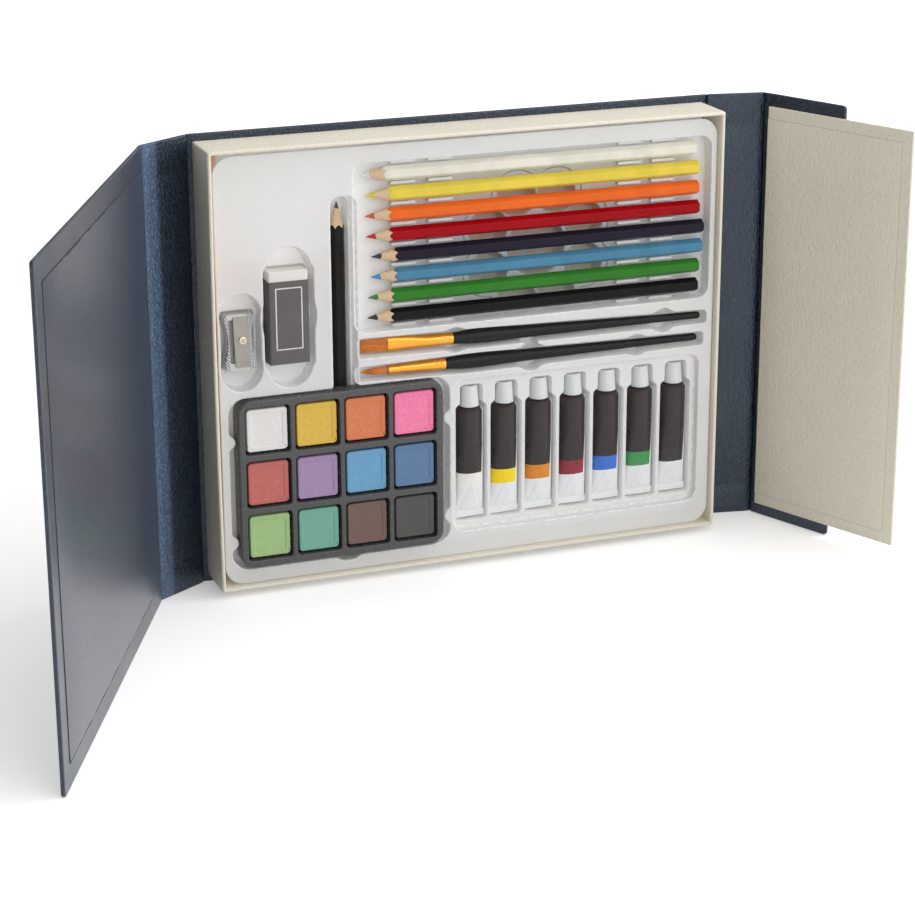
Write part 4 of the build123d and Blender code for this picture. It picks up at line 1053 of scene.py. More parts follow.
def trace(field, low, high, pitch=0.9, spacing=0.75):
    """The closed lines where a field is 0, as evenly spaced points, each anticlockwise."""
    us = np.arange(low[0], high[0] + pitch, pitch)
    vs = np.arange(low[1], high[1] + pitch, pitch)
    grid = np.stack(np.meshgrid(us, vs, indexing="ij"), -1)
    value = field(grid)
    inside = value < 0
    cells = inside[:-1, :-1].astype(int) + inside[1:, :-1] + inside[:-1, 1:] + inside[1:, 1:]
    places, links = {}, {}
    for i, j in np.argwhere((cells > 0) & (cells < 4)):
        corners = [(i, j), (i + 1, j), (i + 1, j + 1), (i, j + 1)]
        crossed = []
        for a, b in zip(corners, corners[1:] + corners[:1]):
            if inside[a] != inside[b]:
                key = (min(a, b), max(a, b))
                share = value[key[0]] / (value[key[0]] - value[key[1]])
                places[key] = grid[key[0]] * (1 - share) + grid[key[1]] * share
                crossed.append(key)
        for a, b in zip(crossed[::2], crossed[1::2]):
            links.setdefault(a, []).append(b)
            links.setdefault(b, []).append(a)
    loops, seen = [], set()
    for start in links:
        if start in seen:
            continue
        loop, here = [], start
        while here is not None:
            seen.add(here)
            loop.append(places[here])
            here = next((key for key in links[here] if key not in seen), None)
        if len(loop) < 8:
            continue
        line = np.array([*loop, loop[0]])
        length = np.concatenate([[0], np.cumsum(np.linalg.norm(np.diff(line, axis=0), axis=1))])
        count = max(16, int(round(length[-1] / spacing)))
        even = np.linspace(0, length[-1], count, endpoint=False)
        ring = np.stack([np.interp(even, length, line[:, k]) for k in (0, 1)], -1)
        for _ in range(4):
            ring = ring - field(ring)[:, None] * slope_of(field, ring)
        area = np.sum(ring[:, 0] * np.roll(ring[:, 1], -1) - np.roll(ring[:, 0], -1) * ring[:, 1])
        loops.append(ring if area > 0 else ring[::-1])
    return loops


def inside_ring(p, ring):
    """Which points lie inside a closed ring."""
    a, b = ring, np.roll(ring, -1, axis=0)
    rises = (a[None, :, 1] > p[:, None, 1]) != (b[None, :, 1] > p[:, None, 1])
    gap = np.where(np.abs(b[:, 1] - a[:, 1]) < 1e-12, 1e-12, b[:, 1] - a[:, 1])
    cross = a[None, :, 0] + (p[:, None, 1] - a[None, :, 1]) * ((b - a)[:, 0] / gap)[None, :]
    return np.sum(rises & (p[:, None, 0] < cross), axis=1) % 2 == 1


class FormedSheet:
    """A sheet drawn over a tool: flat levels joined by rounded, drafted walls. Rings are kept as
    lists of point numbers, so every level shares its edge with the walls around it."""

    def __init__(self):
        self.points = []
        self.faces = []
        self.folds = set()

    def ring(self, line, depth):
        start = len(self.points)
        self.points += [(u, v, -depth) for u, v in line]
        return list(range(start, start + len(line)))

    def between_rings(self, first, second):
        for k in range(len(first)):
            n = (k + 1) % len(first)
            self.faces.append((first[k], first[n], second[n], second[k]))

    def flat(self, outer, holes):
        """Fills the level between its outer rings and its holes."""
        rings = outer + holes
        numbers = [number for ring in rings for number in ring]
        places = [Vector(self.points[number][:2]) for number in numbers]
        edges, start = [], 0
        for ring in rings:
            count = len(ring)
            edges += [(start + k, start + (k + 1) % count) for k in range(count)]
            start += count
        found = delaunay_2d_cdt(places, edges, [], 0, 1e-7, True)
        corners = np.array([p[:] for p in found[0]])
        triangles = np.array([face for face in found[2] if len(face) == 3])
        origin = [numbers[some[0]] if some else None for some in found[3]]
        centres = corners[triangles].mean(axis=1)
        kept = np.zeros(len(centres), bool)
        for ring in outer:
            kept |= inside_ring(centres, np.array([self.points[n][:2] for n in ring]))
        for ring in holes:
            kept &= ~inside_ring(centres, np.array([self.points[n][:2] for n in ring]))
        for triangle in triangles[kept]:
            face = tuple(origin[k] for k in triangle)
            if None not in face and len(set(face)) == 3:
                self.faces.append(face)

    def wall(self, line, inward, start, end, lip, foot, draft, margin=0.12):
        """Rings down a wall from one level to another. Returns the first and the last ring."""
        sign = 1 if end > start else -1
        height = abs(end - start)
        lean = math.tan(math.radians(draft))
        lip = min(lip, height * 0.45)
        foot = min(foot, height * 0.45)
        turn = math.radians(90 - draft)
        steps = [(-lip - margin, 0.0)]
        for k in range(5):
            a = turn * k / 4
            steps.append((-lip + lip * math.sin(a), lip * (1 - math.cos(a))))
        foot_top = height - foot * (1 - math.cos(turn))
        foot_in = steps[-1][0] + (foot_top - steps[-1][1]) * lean
        for k in range(5):
            a = turn * (1 - k / 4)
            steps.append(
                (foot_in + foot * (math.sin(turn) - math.sin(a)), height - foot * (1 - math.cos(a)))
            )
        steps.append((steps[-1][0] + margin, height))
        rings = [self.ring(line + inward * inset, start + sign * drop) for inset, drop in steps]
        for k, (first, second) in enumerate(zip(rings, rings[1:])):
            if k in (2, 3, 8):
                self.folds.update(range(len(self.faces), len(self.faces) + len(first)))
            self.between_rings(first, second)
        return rings[0], rings[-1]

    def sink(self, well, level):
        """A well and everything in it. Returns its rings at the level it starts from."""
        field, low, high, depth, lip, foot, draft, children = well
        tops, feet = [], []
        for line in trace(field, low, high):
            top, bottom = self.wall(line, -slope_of(field, line), level, depth, lip, foot, draft)
            tops.append(top)
            feet.append(bottom)
        holes = [ring for child in children for ring in self.sink(child, depth)]
        self.flat(feet, holes)
        return tops

    def sheet(self, line, inward, wells, level, edge_r, skirt, flare=0.0):
        """The face, its rounded outer edge and a skirt down from it. Returns the skirt's last ring."""
        steps = [(edge_r + 0.12, 0.0)]
        for k in range(6):
            a = math.pi / 2 * k / 5
            steps.append((edge_r - edge_r * math.sin(a), edge_r - edge_r * math.cos(a)))
        steps.append((-flare, skirt))
        rings = [self.ring(line + inward * inset, level + drop) for inset, drop in steps]
        for first, second in zip(rings, rings[1:]):
            self.between_rings(first, second)
        holes = [ring for well in wells for ring in self.sink(well, level)]
        self.flat([rings[0]], holes)
        return rings[-1]


def well(field, low, high, depth, lip=0.5, foot=0.9, draft=3.0, children=()):
    """A well: its outline, the box that holds it, the depth of its floor and its roundings."""
    return (field, low, high, depth, lip, foot, draft, children)


def searched(u, v, reach_u, reach_v):
    """The box about a place in which an outline is looked for: its lowest and highest corner."""
    return (u - reach_u, v - reach_v), (u + reach_u, v + reach_v)


# Places of the things in the insert
pencils = [name for name in frame["nodes"] if name.startswith("pencil_")]
pencil_spans = {name: span(name) for name in pencils}
tubes = [name for name in frame["nodes"] if name.startswith("tube_")]
cakes = [name for name in frame["nodes"] if name.startswith("cake_")]
graphite_span = span("graphite_pencil")
palette_span = span("mixing_palette")
pan_span = span("pan_tray")
eraser_span = span("eraser_sleeve")
eraser_block_span = span("eraser")
sharpener_span = span("sharpener_body")

bed_room = (4.3, 2.9, 2.6)
bed_floor = 7.2
bed_u0 = min(s[0] for s in pencil_spans.values()) - bed_room[0]
bed_u1 = max(s[1] for s in pencil_spans.values()) + bed_room[1]
bed_v0 = min(s[2] for s in pencil_spans.values()) - bed_room[2]
bed_v1 = max(s[3] for s in pencil_spans.values()) + bed_room[2]
bed_field = rectangle_field(*plan(bed_u0, bed_u1, bed_v0, bed_v1), 6.0)

# Low ribs between the pencils
rib_rise = 3.0
rib_half = (6.5, 0.95)
rib_row_u = [-34.6, -15.6, 84.0, 102.0]
pencil_v = sorted((plan(*pencil_span)[1] for pencil_span in pencil_spans.values()), reverse=True)
pencil_pitch = (pencil_v[0] - pencil_v[-1]) / (len(pencil_v) - 1)
ribs = []
for rib_u in rib_row_u:
    for k in range(len(pencil_v) + 1):
        rib_v = pencil_v[0] + (0.5 - k) * pencil_pitch
        rib_field = rectangle_field(rib_u, rib_v, *rib_half, 0.9)
        ribs.append(well(rib_field, *searched(rib_u, rib_v, 9, 3), bed_floor - rib_rise, 0.3, 0.35))

# The palette's flower, and the bed that it lies in
petal_count = 8
petal_ring_r = 27.5
petal_r = 13.0
petal_cup_r = 10.2
hub_cup_r = 15.3
palette_floor = 16.0
palette_play = 0.35
palette_u, palette_v, *_ = plan(*palette_span)
petal_places = [
    (petal_ring_r * math.cos(a), petal_ring_r * math.sin(a))
    for a in (2 * math.pi * (k + 0.5) / petal_count for k in range(petal_count))
]


def flower_field(u, v, grow):
    round_parts = [circle_field(u, v, petal_ring_r)]
    round_parts += [circle_field(u + x, v + y, petal_r + grow) for x, y in petal_places]
    return merged(round_parts, 1.6)


palette_hollow = flower_field(palette_u, palette_v, palette_play)
palette_bed = well(palette_hollow, *searched(palette_u, palette_v, 46, 46), palette_floor, foot=1.2)
bed_box = (bed_u0 - 3, bed_v0 - 3), (bed_u1 + 3, bed_v1 + 3)
bed_well = well(bed_field, *bed_box, bed_floor, lip=0.7, foot=1.4, children=[palette_bed, *ribs])

# The pan's well with its four side lobes, and the groove that starts above it and runs on below
pan_u, pan_v, *pan_half = plan(*pan_span)
lobe = 3.2
nub_v = (-29.5, 22.0)
pan_well_floor = 6.6
wide = pan_half[0] + 0.7 + lobe
nubs = [circle_field(pan_u + side * wide, pan_v + v, lobe) for side in (-1, 1) for v in nub_v]
pan_body = rectangle_field(pan_u, pan_v, wide, pan_half[1] + 0.9, 8.5)
graphite_u, groove_v, _, graphite_half = plan(*graphite_span)
groove_half = (4.5, graphite_half + 2.6)
groove_ledge = 1.7
groove_floor = 14.0
ledge_half = [half + groove_ledge for half in groove_half]
upper_groove = rectangle_field(graphite_u, groove_v, *ledge_half, 4.5)
lower_groove = rectangle_field(graphite_u, groove_v, *groove_half, 3.4)
groove_box = searched(graphite_u, groove_v, 8, groove_half[1] + 4)
groove_well = well(lower_groove, *groove_box, groove_floor, foot=1.2)
pan_field = merged([trimmed(pan_body, nubs, 2.2), upper_groove], 1.6)
pan_box = (pan_u - 66, pan_v - 56), (pan_u + 66, graphite_span[3] + 9)
pan_well = well(pan_field, *pan_box, pan_well_floor, lip=0.8, foot=1.0, children=[groove_well])

# Recesses of the eraser and the sharpener, with room for fingertips
finger_floor = 8.0
small_floor = 11.0
small_play = 1.0
small_ledge = 1.5


def finger_well(u, v, half_u, half_v, rounds, reach, inner_reach):
    """A recess that fits a thing, in a shallower one with rounds for fingertips: (offset, radius)."""
    half = (half_u + small_play, half_v + small_play)
    fitting = rectangle_field(u, v, *half, 2.2)
    outer = [rectangle_field(u, v, half[0] + small_ledge, half[1] + small_ledge, 3.2)]
    outer += [circle_field(u, v + offset, radius) for offset, radius in rounds]
    inner = well(fitting, *searched(u, v, *inner_reach), small_floor, lip=0.4, foot=0.8)
    return well(merged(outer, 1.8), *searched(u, v, *reach), finger_floor, foot=1.1, children=[inner])


eraser_plan = plan(*eraser_span[:2], *eraser_block_span[2:])
eraser_rounds = [(0.0, 13.6), (23.8, 11.0), (-23.8, 11.0)]
eraser_well = finger_well(*eraser_plan, eraser_rounds, (20, 42), (16, 30))
sharpener_rounds = [(14.0, 10.2), (-14.0, 10.2)]
sharpener_well = finger_well(*plan(*sharpener_span), sharpener_rounds, (14, 28), (12, 20))


# Brushes lie in long tapered wells with round finger places
def brush_axis(handle, bristles):
    """A brush's tip and its handle's end in the insert's plane, from its nodes' boxes."""
    hair, stick = span(bristles), span(handle)
    tip_v = (hair[2] + hair[3]) / 2
    vertices = np.array([v.co[:] for v in frame["nodes"][handle].data.vertices])
    far = vertices[vertices[:, 0] > vertices[:, 0].max() - 2 * mm]
    end_v = ((far[:, 2].min() + far[:, 2].max()) / 2 - insert_mid_z) / mm
    return (hair[0], tip_v), (stick[1], end_v)


def brush_well(ends, tip_half, fingers):
    (tip_u, tip_v), (end_u, end_v) = ends
    belly_u = tip_u + (end_u - tip_u) / 3
    belly_v = tip_v + (end_v - tip_v) / 3
    corner = 1.8
    left, right = tip_u - 2 + corner, end_u + 2 - corner
    belly_half, end_half, left_half = 4.6 - corner + 0.4, 3.2 - corner + 0.4, tip_half + 1.3 - corner
    corners = [(left, tip_v - left_half), (belly_u, belly_v - belly_half), (right, end_v - end_half)]
    corners += [(right, end_v + end_half), (belly_u, belly_v + belly_half), (left, tip_v + left_half)]
    parts = [path_field(corners, corner)]
    for along, radius in fingers:
        finger_v = tip_v + (end_v - tip_v) * along / (end_u - tip_u)
        parts.append(circle_field(tip_u + along, finger_v, radius))
    return merged(parts, 2.0)


flat_ends = brush_axis("flat_brush_handle", "flat_brush_bristles")
round_ends = brush_axis("round_brush_handle", "round_brush_bristles")
flat_field = brush_well(flat_ends, 3.7, [(48.0, 6.3), (160.0, 6.3)])
round_field = brush_well(round_ends, 2.4, [(89.6, 7.4), (147.0, 5.6)])
brush_floor = 8.0
brushes_box = (flat_ends[0][0] - 6, round_ends[0][1] - 18), (flat_ends[1][0] + 8, flat_ends[0][1] + 14)
brushes_well = well(
    lambda p: np.minimum(flat_field(p), round_field(p)), *brushes_box, brush_floor, foot=1.1
)

# Tubes: one shallow recess, and in it a well for each tube and its cap
tube_spans = [span(name) for name in tubes]
cap_spans = [span(name.replace("tube_", "cap_")) for name in tubes]
recess_room = (3.6, 4.8)
recess_u0 = min(s[0] for s in tube_spans) - recess_room[0]
recess_u1 = max(s[1] for s in tube_spans) + recess_room[0]
recess_v0 = min(s[2] for s in tube_spans) - recess_room[1]
recess_v1 = max(s[3] for s in cap_spans) + recess_room[1]
recess_floor = 4.0
tube_floor = 14.4
tube_well_half, cap_well_half = 8.3, 6.0
tube_fields = []
for tube_span, cap_span in zip(tube_spans, cap_spans):
    u = plan(*tube_span)[0]
    tube_low, tube_high, cap_high = tube_span[2] - 0.9, cap_span[2] + 1.5, cap_span[3] + 1.0
    sides = (tube_well_half, tube_high), (cap_well_half, cap_high)
    parts = [rectangle_field(u, (tube_low + v) / 2, half, (v - tube_low) / 2, 2.3) for half, v in sides]
    tube_fields.append(merged(parts, 1.2))
tubes_box = (recess_u0 - 2, recess_v0 - 2), (recess_u1 + 2, recess_v1 + 2)
tubes_well = well(
    lambda p: np.min([field(p) for field in tube_fields], axis=0), *tubes_box, tube_floor, lip=0.35,
    foot=1.4
)
recess_field = rectangle_field(*plan(recess_u0, recess_u1, recess_v0, recess_v1), 6.0)
recess_box = (recess_u0 - 3, recess_v0 - 3), (recess_u1 + 3, recess_v1 + 3)
recess_well = well(recess_field, *recess_box, recess_floor, lip=0.8, foot=1.6, children=[tubes_well])

insert_half = ((insert_high.x - insert_low.x) / 2 / mm, (insert_high.z - insert_low.z) / 2 / mm)
insert_field = rectangle_field(0, 0, *insert_half, 9.5)
insert_box = searched(0, 0, insert_half[0] + 2, insert_half[1] + 2)
insert_line = trace(insert_field, *insert_box, 2.0, 2.0)[0]
insert_sheet = FormedSheet()
insert_sheet.sheet(
    insert_line, -slope_of(insert_field, insert_line),
    [bed_well, pan_well, eraser_well, sharpener_well, brushes_well, recess_well], 0.0, 0.5, 0.9
)
new_piece(
    "insert_formed", insert_sheet.points, insert_sheet.faces, [formed_plastic, formed_fold], "insert",
    ["insert"], "formed_plastic", face_frame,
    [int(k in insert_sheet.folds) for k in range(len(insert_sheet.faces))], crease=60
)

# Flower palette: a pale rim with nine rounded cups
palette_frame = axes(on_face(palette_u, palette_v, palette_span[4]), (1, 0, 0), (0, 0, 1))
palette_outline = flower_field(0, 0, 0.0)
palette_line = trace(palette_outline, (-44, -44), (44, 44))[0]
cup_depth = 6.6
cup_draft = 18.0
cups = [well(circle_field(0, 0, hub_cup_r), *searched(0, 0, 18, 18), cup_depth, 0.4, 5.0, cup_draft)]
for x, y in petal_places:
    petal_field = circle_field(x, y, petal_cup_r)
    cups.append(well(petal_field, *searched(x, y, 13, 13), cup_depth, 0.4, 4.5, cup_draft))
palette_sheet = FormedSheet()
palette_sheet.sheet(palette_line, -slope_of(palette_outline, palette_line), cups, 0.0, 0.4, 1.2)
new_piece(
    "mixing_palette_pressed", palette_sheet.points, palette_sheet.faces, [palette_plastic], "insert",
    ["mixing_palette"], "palette_plastic", palette_frame, crease=60
)

# Pan tray: a moulded tray with a soft rim, and a pocket for each cake
pan_frame = axes(on_face(pan_u, pan_v, pan_span[4]), (1, 0, 0), (0, 0, 1))
pan_outline = rectangle_field(0, 0, *pan_half, 7.0)
pan_line = trace(pan_outline, *searched(0, 0, pan_half[0] + 2, pan_half[1] + 2), 1.0, 1.0)[0]
cake_spans = {name: span(name) for name in cakes}
pocket_half = (11.3, 11.95)
pocket_depth = 6.0
pockets = []
for cake_span in cake_spans.values():
    cake_u, cake_v, *_ = plan(*cake_span)
    x, y = cake_u - pan_u, cake_v - pan_v
    pocket_field = rectangle_field(x, y, *pocket_half, 1.9)
    pockets.append(well(pocket_field, *searched(x, y, 14, 15), pocket_depth, 0.55, 0.6, 2.0))
pan_sheet = FormedSheet()
pan_thick = pan_span[5] - pan_span[4]
pan_skirt = pan_sheet.sheet(pan_line, -slope_of(pan_outline, pan_line), pockets, 0.0, 1.1, pan_thick)
pan_sheet.faces.append(tuple(reversed(pan_skirt)))
new_piece(
    "pan_tray_moulded", pan_sheet.points, pan_sheet.faces, [pan_plastic], "pan_tray", ["pan_tray"],
    "pan_plastic", pan_frame, crease=50
)

# Cakes: pressed blocks, slightly crumbled at the rim, with a shallow square pressed into the face
cake_colours = {
    "white": "#e1dedb", "yellow": "#d7b140", "orange": "#d2764a", "pink": "#ed76a2", "red": "#bf655f",
    "violet": "#9f86ab", "sky": "#659cc0", "blue": "#59789c", "light_green": "#9ebd7f",
    "teal": "#70a998", "brown": "#725b53", "charcoal": "#515150"
}


def make_cake(name, colour_code):
    cake_span = cake_spans[f"cake_{name}"]
    cake_u, cake_v, *half = plan(*cake_span)
    front, back = cake_span[4:]
    lean = 0.32
    half = [side - lean for side in half]
    outline = rectangle_field(0, 0, *half, 1.8)
    line = trace(outline, *searched(0, 0, 13, 14), 0.8, 0.5)[0]
    inward = -slope_of(outline, line)
    angle = np.arctan2(line[:, 1], line[:, 0])
    crumble = 0.06 * np.sin(angle * 23 + chance.uniform(0, 6))
    crumble += 0.05 * np.sin(angle * 41 + chance.uniform(0, 6))
    chip = chance.uniform(0, 2 * math.pi)
    crumble += 0.22 * np.exp(-(((angle - chip + math.pi) % (2 * math.pi) - math.pi) / 0.05) ** 2)
    line = line + inward * (np.abs(crumble) + 0.02)[:, None]
    border, dish_depth = 2.3, 0.28
    dish_field = rectangle_field(0, 0, *(side - border for side in half), 0.9)
    dish = well(dish_field, *searched(0, 0, 12, 13), dish_depth, lip=0.12, foot=0.12, draft=40.0)
    cake = FormedSheet()
    base = cake.sheet(line, inward, [dish], 0.0, 0.45, back - front, lean)
    cake.faces.append(tuple(reversed(base)))
    where = axes(on_face(cake_u, cake_v, front), (1, 0, 0), (0, 0, 1))
    new_piece(
        f"cake_{name}_pressed", cake.points, cake.faces, [make_cake_paint(name, colour_code)],
        "pan_tray", [f"cake_{name}"], f"cake_{name}", where, crease=60
    )


for name, colour_code in cake_colours.items():
    make_cake(name, colour_code)


# Pencils: dipped hexagons, sharpened so that the lacquer ends in a scallop on each flat
pencil_colours = {
    "white": ("#e3e0d2", "#e4e3dc"), "yellow": ("#e2ca4e", "#e3cf3c"), "orange": ("#e66927", "#d2532c"),
    "red": ("#9c010f", "#bb2b2b"), "violet": ("#1f1a2b", "#33294a"), "blue": ("#4d819f", "#2e93c4"),
    "green": ("#337828", "#2f7f35"), "black": ("#131314", "#2a2a2c")
}
flats = 6.5
around = 72
tip_r = 0.25
cone_length = 13.8
cone_slope = flats / 2 / math.cos(math.radians(30)) / cone_length
tip_back = tip_r / cone_slope


def pencil_radius(angles):
    """A hexagon's radius with its six edges softened, by angle from the middle of a flat."""
    total = sum(np.abs(np.cos(angles - k * math.pi / 3)) ** 26 for k in range(3))
    return flats / 2 * total ** (-1 / 26)


def make_pencil(node, where, length, core_r, lacquer, core, body):
    """A pencil along its frame's z, from the point that its cone would run out to."""
    angles = np.linspace(0, 2 * math.pi, around, endpoint=False)
    radius = pencil_radius(angles)
    ragged = 0.10 * np.sin(angles * 17 + chance.uniform(0, 6))
    ragged += 0.08 * np.sin(angles * 29 + chance.uniform(0, 6))
    lacquer_edge = radius / cone_slope + ragged
    core_edge = core_r / cone_slope + 0.25 * np.sin(angles * 2 + chance.uniform(0, 6)) + 0.5 * ragged

    def ring(radii, along):
        return hoop(angles, radii, radii, along)

    body_rings = [ring(radius - 0.05, lacquer_edge), ring(radius, lacquer_edge + 0.12)]
    for share in (0.33, 0.66, 1.0):
        body_rings.append(ring(radius, (lacquer_edge + 0.12) * (1 - share) + (cone_length + 3) * share))
    for along in (length * 0.4, length * 0.7, length - 1.2, length - 0.6):
        body_rings.append(ring(radius, along))
    for shrink, back in ((0.985, 0.28), (0.95, 0.10), (0.86, 0.02), (0.5, 0.0), (0.15, 0.0)):
        body_rings.append(ring(radius * shrink, length - back))
    wood_rings = []
    for share in np.linspace(0, 1, 8):
        along = core_edge * (1 - share) + lacquer_edge * share
        wood_rings.append(ring(np.minimum(cone_slope * along, radius) - 0.05, along))
    core_rings = [ring(0.05, tip_back), ring(tip_r * 0.8, tip_back + 0.03)]
    for share in np.linspace(0, 1, 6):
        along = (tip_back + 0.15) * (1 - share) + core_edge * share
        core_rings.append(ring(cone_slope * along - 0.04, along))
    points, faces, parts = joined(
        loft(body_rings, True, False, True), loft(wood_rings), loft(core_rings, True, True)
    )
    new_piece(
        f"{node}_dipped", points, faces, [lacquer, wood, core], body, [node], node, where, parts,
        crease=48
    )


for name, (colour_code, core_code) in pencil_colours.items():
    node = f"pencil_{name}"
    u0, u1, v0, v1, d0, d1 = pencil_spans[node]
    where = axes(on_face(u0 - tip_back, (v0 + v1) / 2, (d0 + d1) / 2), (0, -1, 0), (0, 0, -1))
    finishes = make_lacquer(name, colour_code), make_core(name, core_code)
    make_pencil(node, where, u1 - u0 + tip_back, 1.5, *finishes, node)

u0, u1, v0, v1, d0, d1 = graphite_span
where = axes(on_face((u0 + u1) / 2, v1 + tip_back, (d0 + d1) / 2), (0, -1, 0), (-1, 0, 0))
finishes = make_lacquer("graphite", "#1c1c1d"), make_core("graphite", "#3a3a3d")
make_pencil("graphite_pencil", where, v1 - v0 + tip_back, 1.1, *finishes, "insert")


# Brushes
def smooth_profile(stops, count):
    """A radius along an axis through (distance, radius) stops, eased between them."""
    distances = np.array([s[0] for s in stops], float)
    radii = np.array([s[1] for s in stops], float)
    slopes = np.gradient(radii, distances)
    slopes[0] = slopes[-1] = 0.0
    along = np.linspace(distances[0], distances[-1], count)
    which = np.clip(np.searchsorted(distances, along, "right") - 1, 0, len(stops) - 2)
    width = distances[which + 1] - distances[which]
    t = (along - distances[which]) / width
    value = (
        (2 * t**3 - 3 * t**2 + 1) * radii[which] + (t**3 - 2 * t**2 + t) * width * slopes[which]
        + (-2 * t**3 + 3 * t**2) * radii[which + 1] + (t**3 - t**2) * width * slopes[which + 1]
    )
    return along, value


def turned(along, radii, sides=40):
    """Rings of a turned shape about z."""
    angles = np.linspace(0, 2 * math.pi, sides, endpoint=False)
    return [hoop(angles, r, r, z) for z, r in zip(along, radii)]


handle_r = 3.6
handle_end_r = 1.9
ferrule_r = 3.0
ferrule_wall = 0.3
crimps_back = (2.5, 5.0)


def make_handle(name, where, start, length):
    end = length - handle_end_r
    stops = [(start - 0.5, 2.9), (start + 10, handle_r), (start + 38, 3.15), (start + 65, 2.7)]
    along, radii = smooth_profile([*stops, (end, handle_end_r)], 60)
    dome = np.linspace(0, math.pi / 2, 8)[1:]
    along = np.concatenate([along, end + handle_end_r * np.sin(dome)])
    radii = np.concatenate([radii, np.maximum(handle_end_r * np.cos(dome), 0.05)])
    points, faces = loft(turned(along, radii), True, True, True)
    body = name.replace("_handle", "")
    new_piece(f"{name}_turned", points, faces, [handle_lacquer], body, [name], "brush_handle", where)


def make_ferrule(name, where, stations):
    """A drawn tube through (distance, half width, half thickness) stations, crimped near its back."""
    sides = 96
    angles = np.linspace(0, 2 * math.pi, sides, endpoint=False)
    distances, wides, thicks = zip(*stations)
    start, stop = distances[0], distances[-1]
    along = np.unique(np.concatenate([np.linspace(start, stop, 90), [stop - b for b in crimps_back]]))
    mouth = (thicks[0] - ferrule_wall, wides[0] - ferrule_wall)
    rings = [hoop(angles, *mouth, start + depth) for depth in (1.4, 0.0)]
    for z in along:
        wide, thick = np.interp(z, distances, wides), np.interp(z, distances, thicks)
        squeeze = np.zeros(sides)
        for back in crimps_back:
            near = math.exp(-(((z - (stop - back)) / 0.34) ** 2))
            squeeze += near * (0.20 + 0.07 * np.cos(angles * 22))
        flare = 0.06 * math.exp(-(((z - (stop - 0.5)) / 0.5) ** 2))
        rings.append(hoop(angles, thick - squeeze + flare, wide - squeeze + flare, z))
    rings.append(hoop(angles, ferrule_r - ferrule_wall, ferrule_r - ferrule_wall, stop))
    points, faces = loft(rings)
    body = name.replace("_ferrule", "")
    new_piece(f"{name}_drawn", points, faces, [gold_metal], body, [name], "ferrule", where, crease=50)


def hair_bundle(paths, thick):
    """Tapered four-sided hairs along paths, each an array of places."""
    shapes = []
    corners = np.array([(1, 0), (0, 1), (-1, 0), (0, -1)], float)
    for path in paths:
        count = len(path)
        rings = []
        for k, place in enumerate(path):
            half = thick * (1.0 - 0.75 * (k / (count - 1)) ** 2)
            rings.append([(place[0] + half * a, place[1] + half * b, place[2]) for a, b in corners])
        shapes.append(loft(rings, True, False, True))
    points, faces, _ = joined(*shapes)
    return points, faces


def make_flat_hair(where, start):
    paths = []
    for _ in range(1100):
        across = chance.uniform(-1, 1)
        through = chance.uniform(-1, 1)
        edge = math.sqrt(1 - across**2 * 0.92)
        root = np.array([through * 1.05 * edge, across * 3.3, start + 1.0])
        tip_z = abs(chance.normal(0, 0.12)) + 0.03
        tip = np.array(
            [through * 0.32 + chance.normal(0, 0.03), across * 3.35 + chance.normal(0, 0.05), tip_z]
        )
        path = []
        for t in np.linspace(0, 1, 6):
            swell = 1 + 0.10 * math.sin(math.pi * min(1, t * 1.3)) * (1 - t)
            place = root * (1 - t) + tip * t
            place[0] = root[0] * (1 - t**1.4) * swell + tip[0] * t**1.4
            path.append(place)
        paths.append(path)
    core = []
    angles = np.linspace(0, 2 * math.pi, 32, endpoint=False)
    for t in np.linspace(0, 1, 8):
        thick = 0.95 * (1 - t) + 0.12 * t
        z = (start + 1.0) * (1 - t) + 0.9 * t
        core.append(hoop(angles, thick, 3.15, z))
    points, faces, _ = joined(hair_bundle(paths, 0.075), loft(core, True, True, True))
    new_piece(
        "flat_brush_bristles_hair", points, faces, [filament], "flat_brush", ["flat_brush_bristles"],
        "bristle", where
    )


def make_round_hair(where, start):
    paths = []
    belly = 8.5
    for _ in range(900):
        share = math.sqrt(chance.uniform(0, 1))
        turn = chance.uniform(0, 2 * math.pi)
        root_r = 1.55 * share
        tip_z = 4.2 * share**2 + abs(chance.normal(0, 0.15)) + 0.03
        path = []
        for z in np.linspace(start + 1.0, tip_z, 8):
            if z > belly:
                r = root_r * (1 + 0.10 * math.sin(math.pi * (start + 1 - z) / (start + 1 - belly) / 2))
            else:
                r = root_r * 1.10 * (0.10 + 0.90 * (z / belly) ** 0.75)
            path.append(np.array([r * math.cos(turn), r * math.sin(turn), z]))
        paths.append(path)
    core_z = np.linspace(start + 1.0, 1.5, 12)
    core_r = [1.45 if z > belly else 1.5 * (0.08 + 0.85 * (z / belly) ** 0.8) for z in core_z]
    points, faces, _ = joined(
        hair_bundle(paths, 0.07), loft(turned(core_z, core_r, 24), True, True, True)
    )
    new_piece(
        "round_brush_bristles_hair", points, faces, [filament], "round_brush", ["round_brush_bristles"],
        "bristle", where
    )


def brush_frame(ends, depth):
    """A brush's frame: z from its hair's tip to its handle's end, x out of the insert."""
    (tip_u, tip_v), (end_u, end_v) = ends
    tip = on_face(tip_u, tip_v, depth)
    direction = (on_face(end_u, end_v, depth) - tip).normalized()
    return axes(tip, (0, -1, 0), direction.cross(Vector((0, -1, 0))))


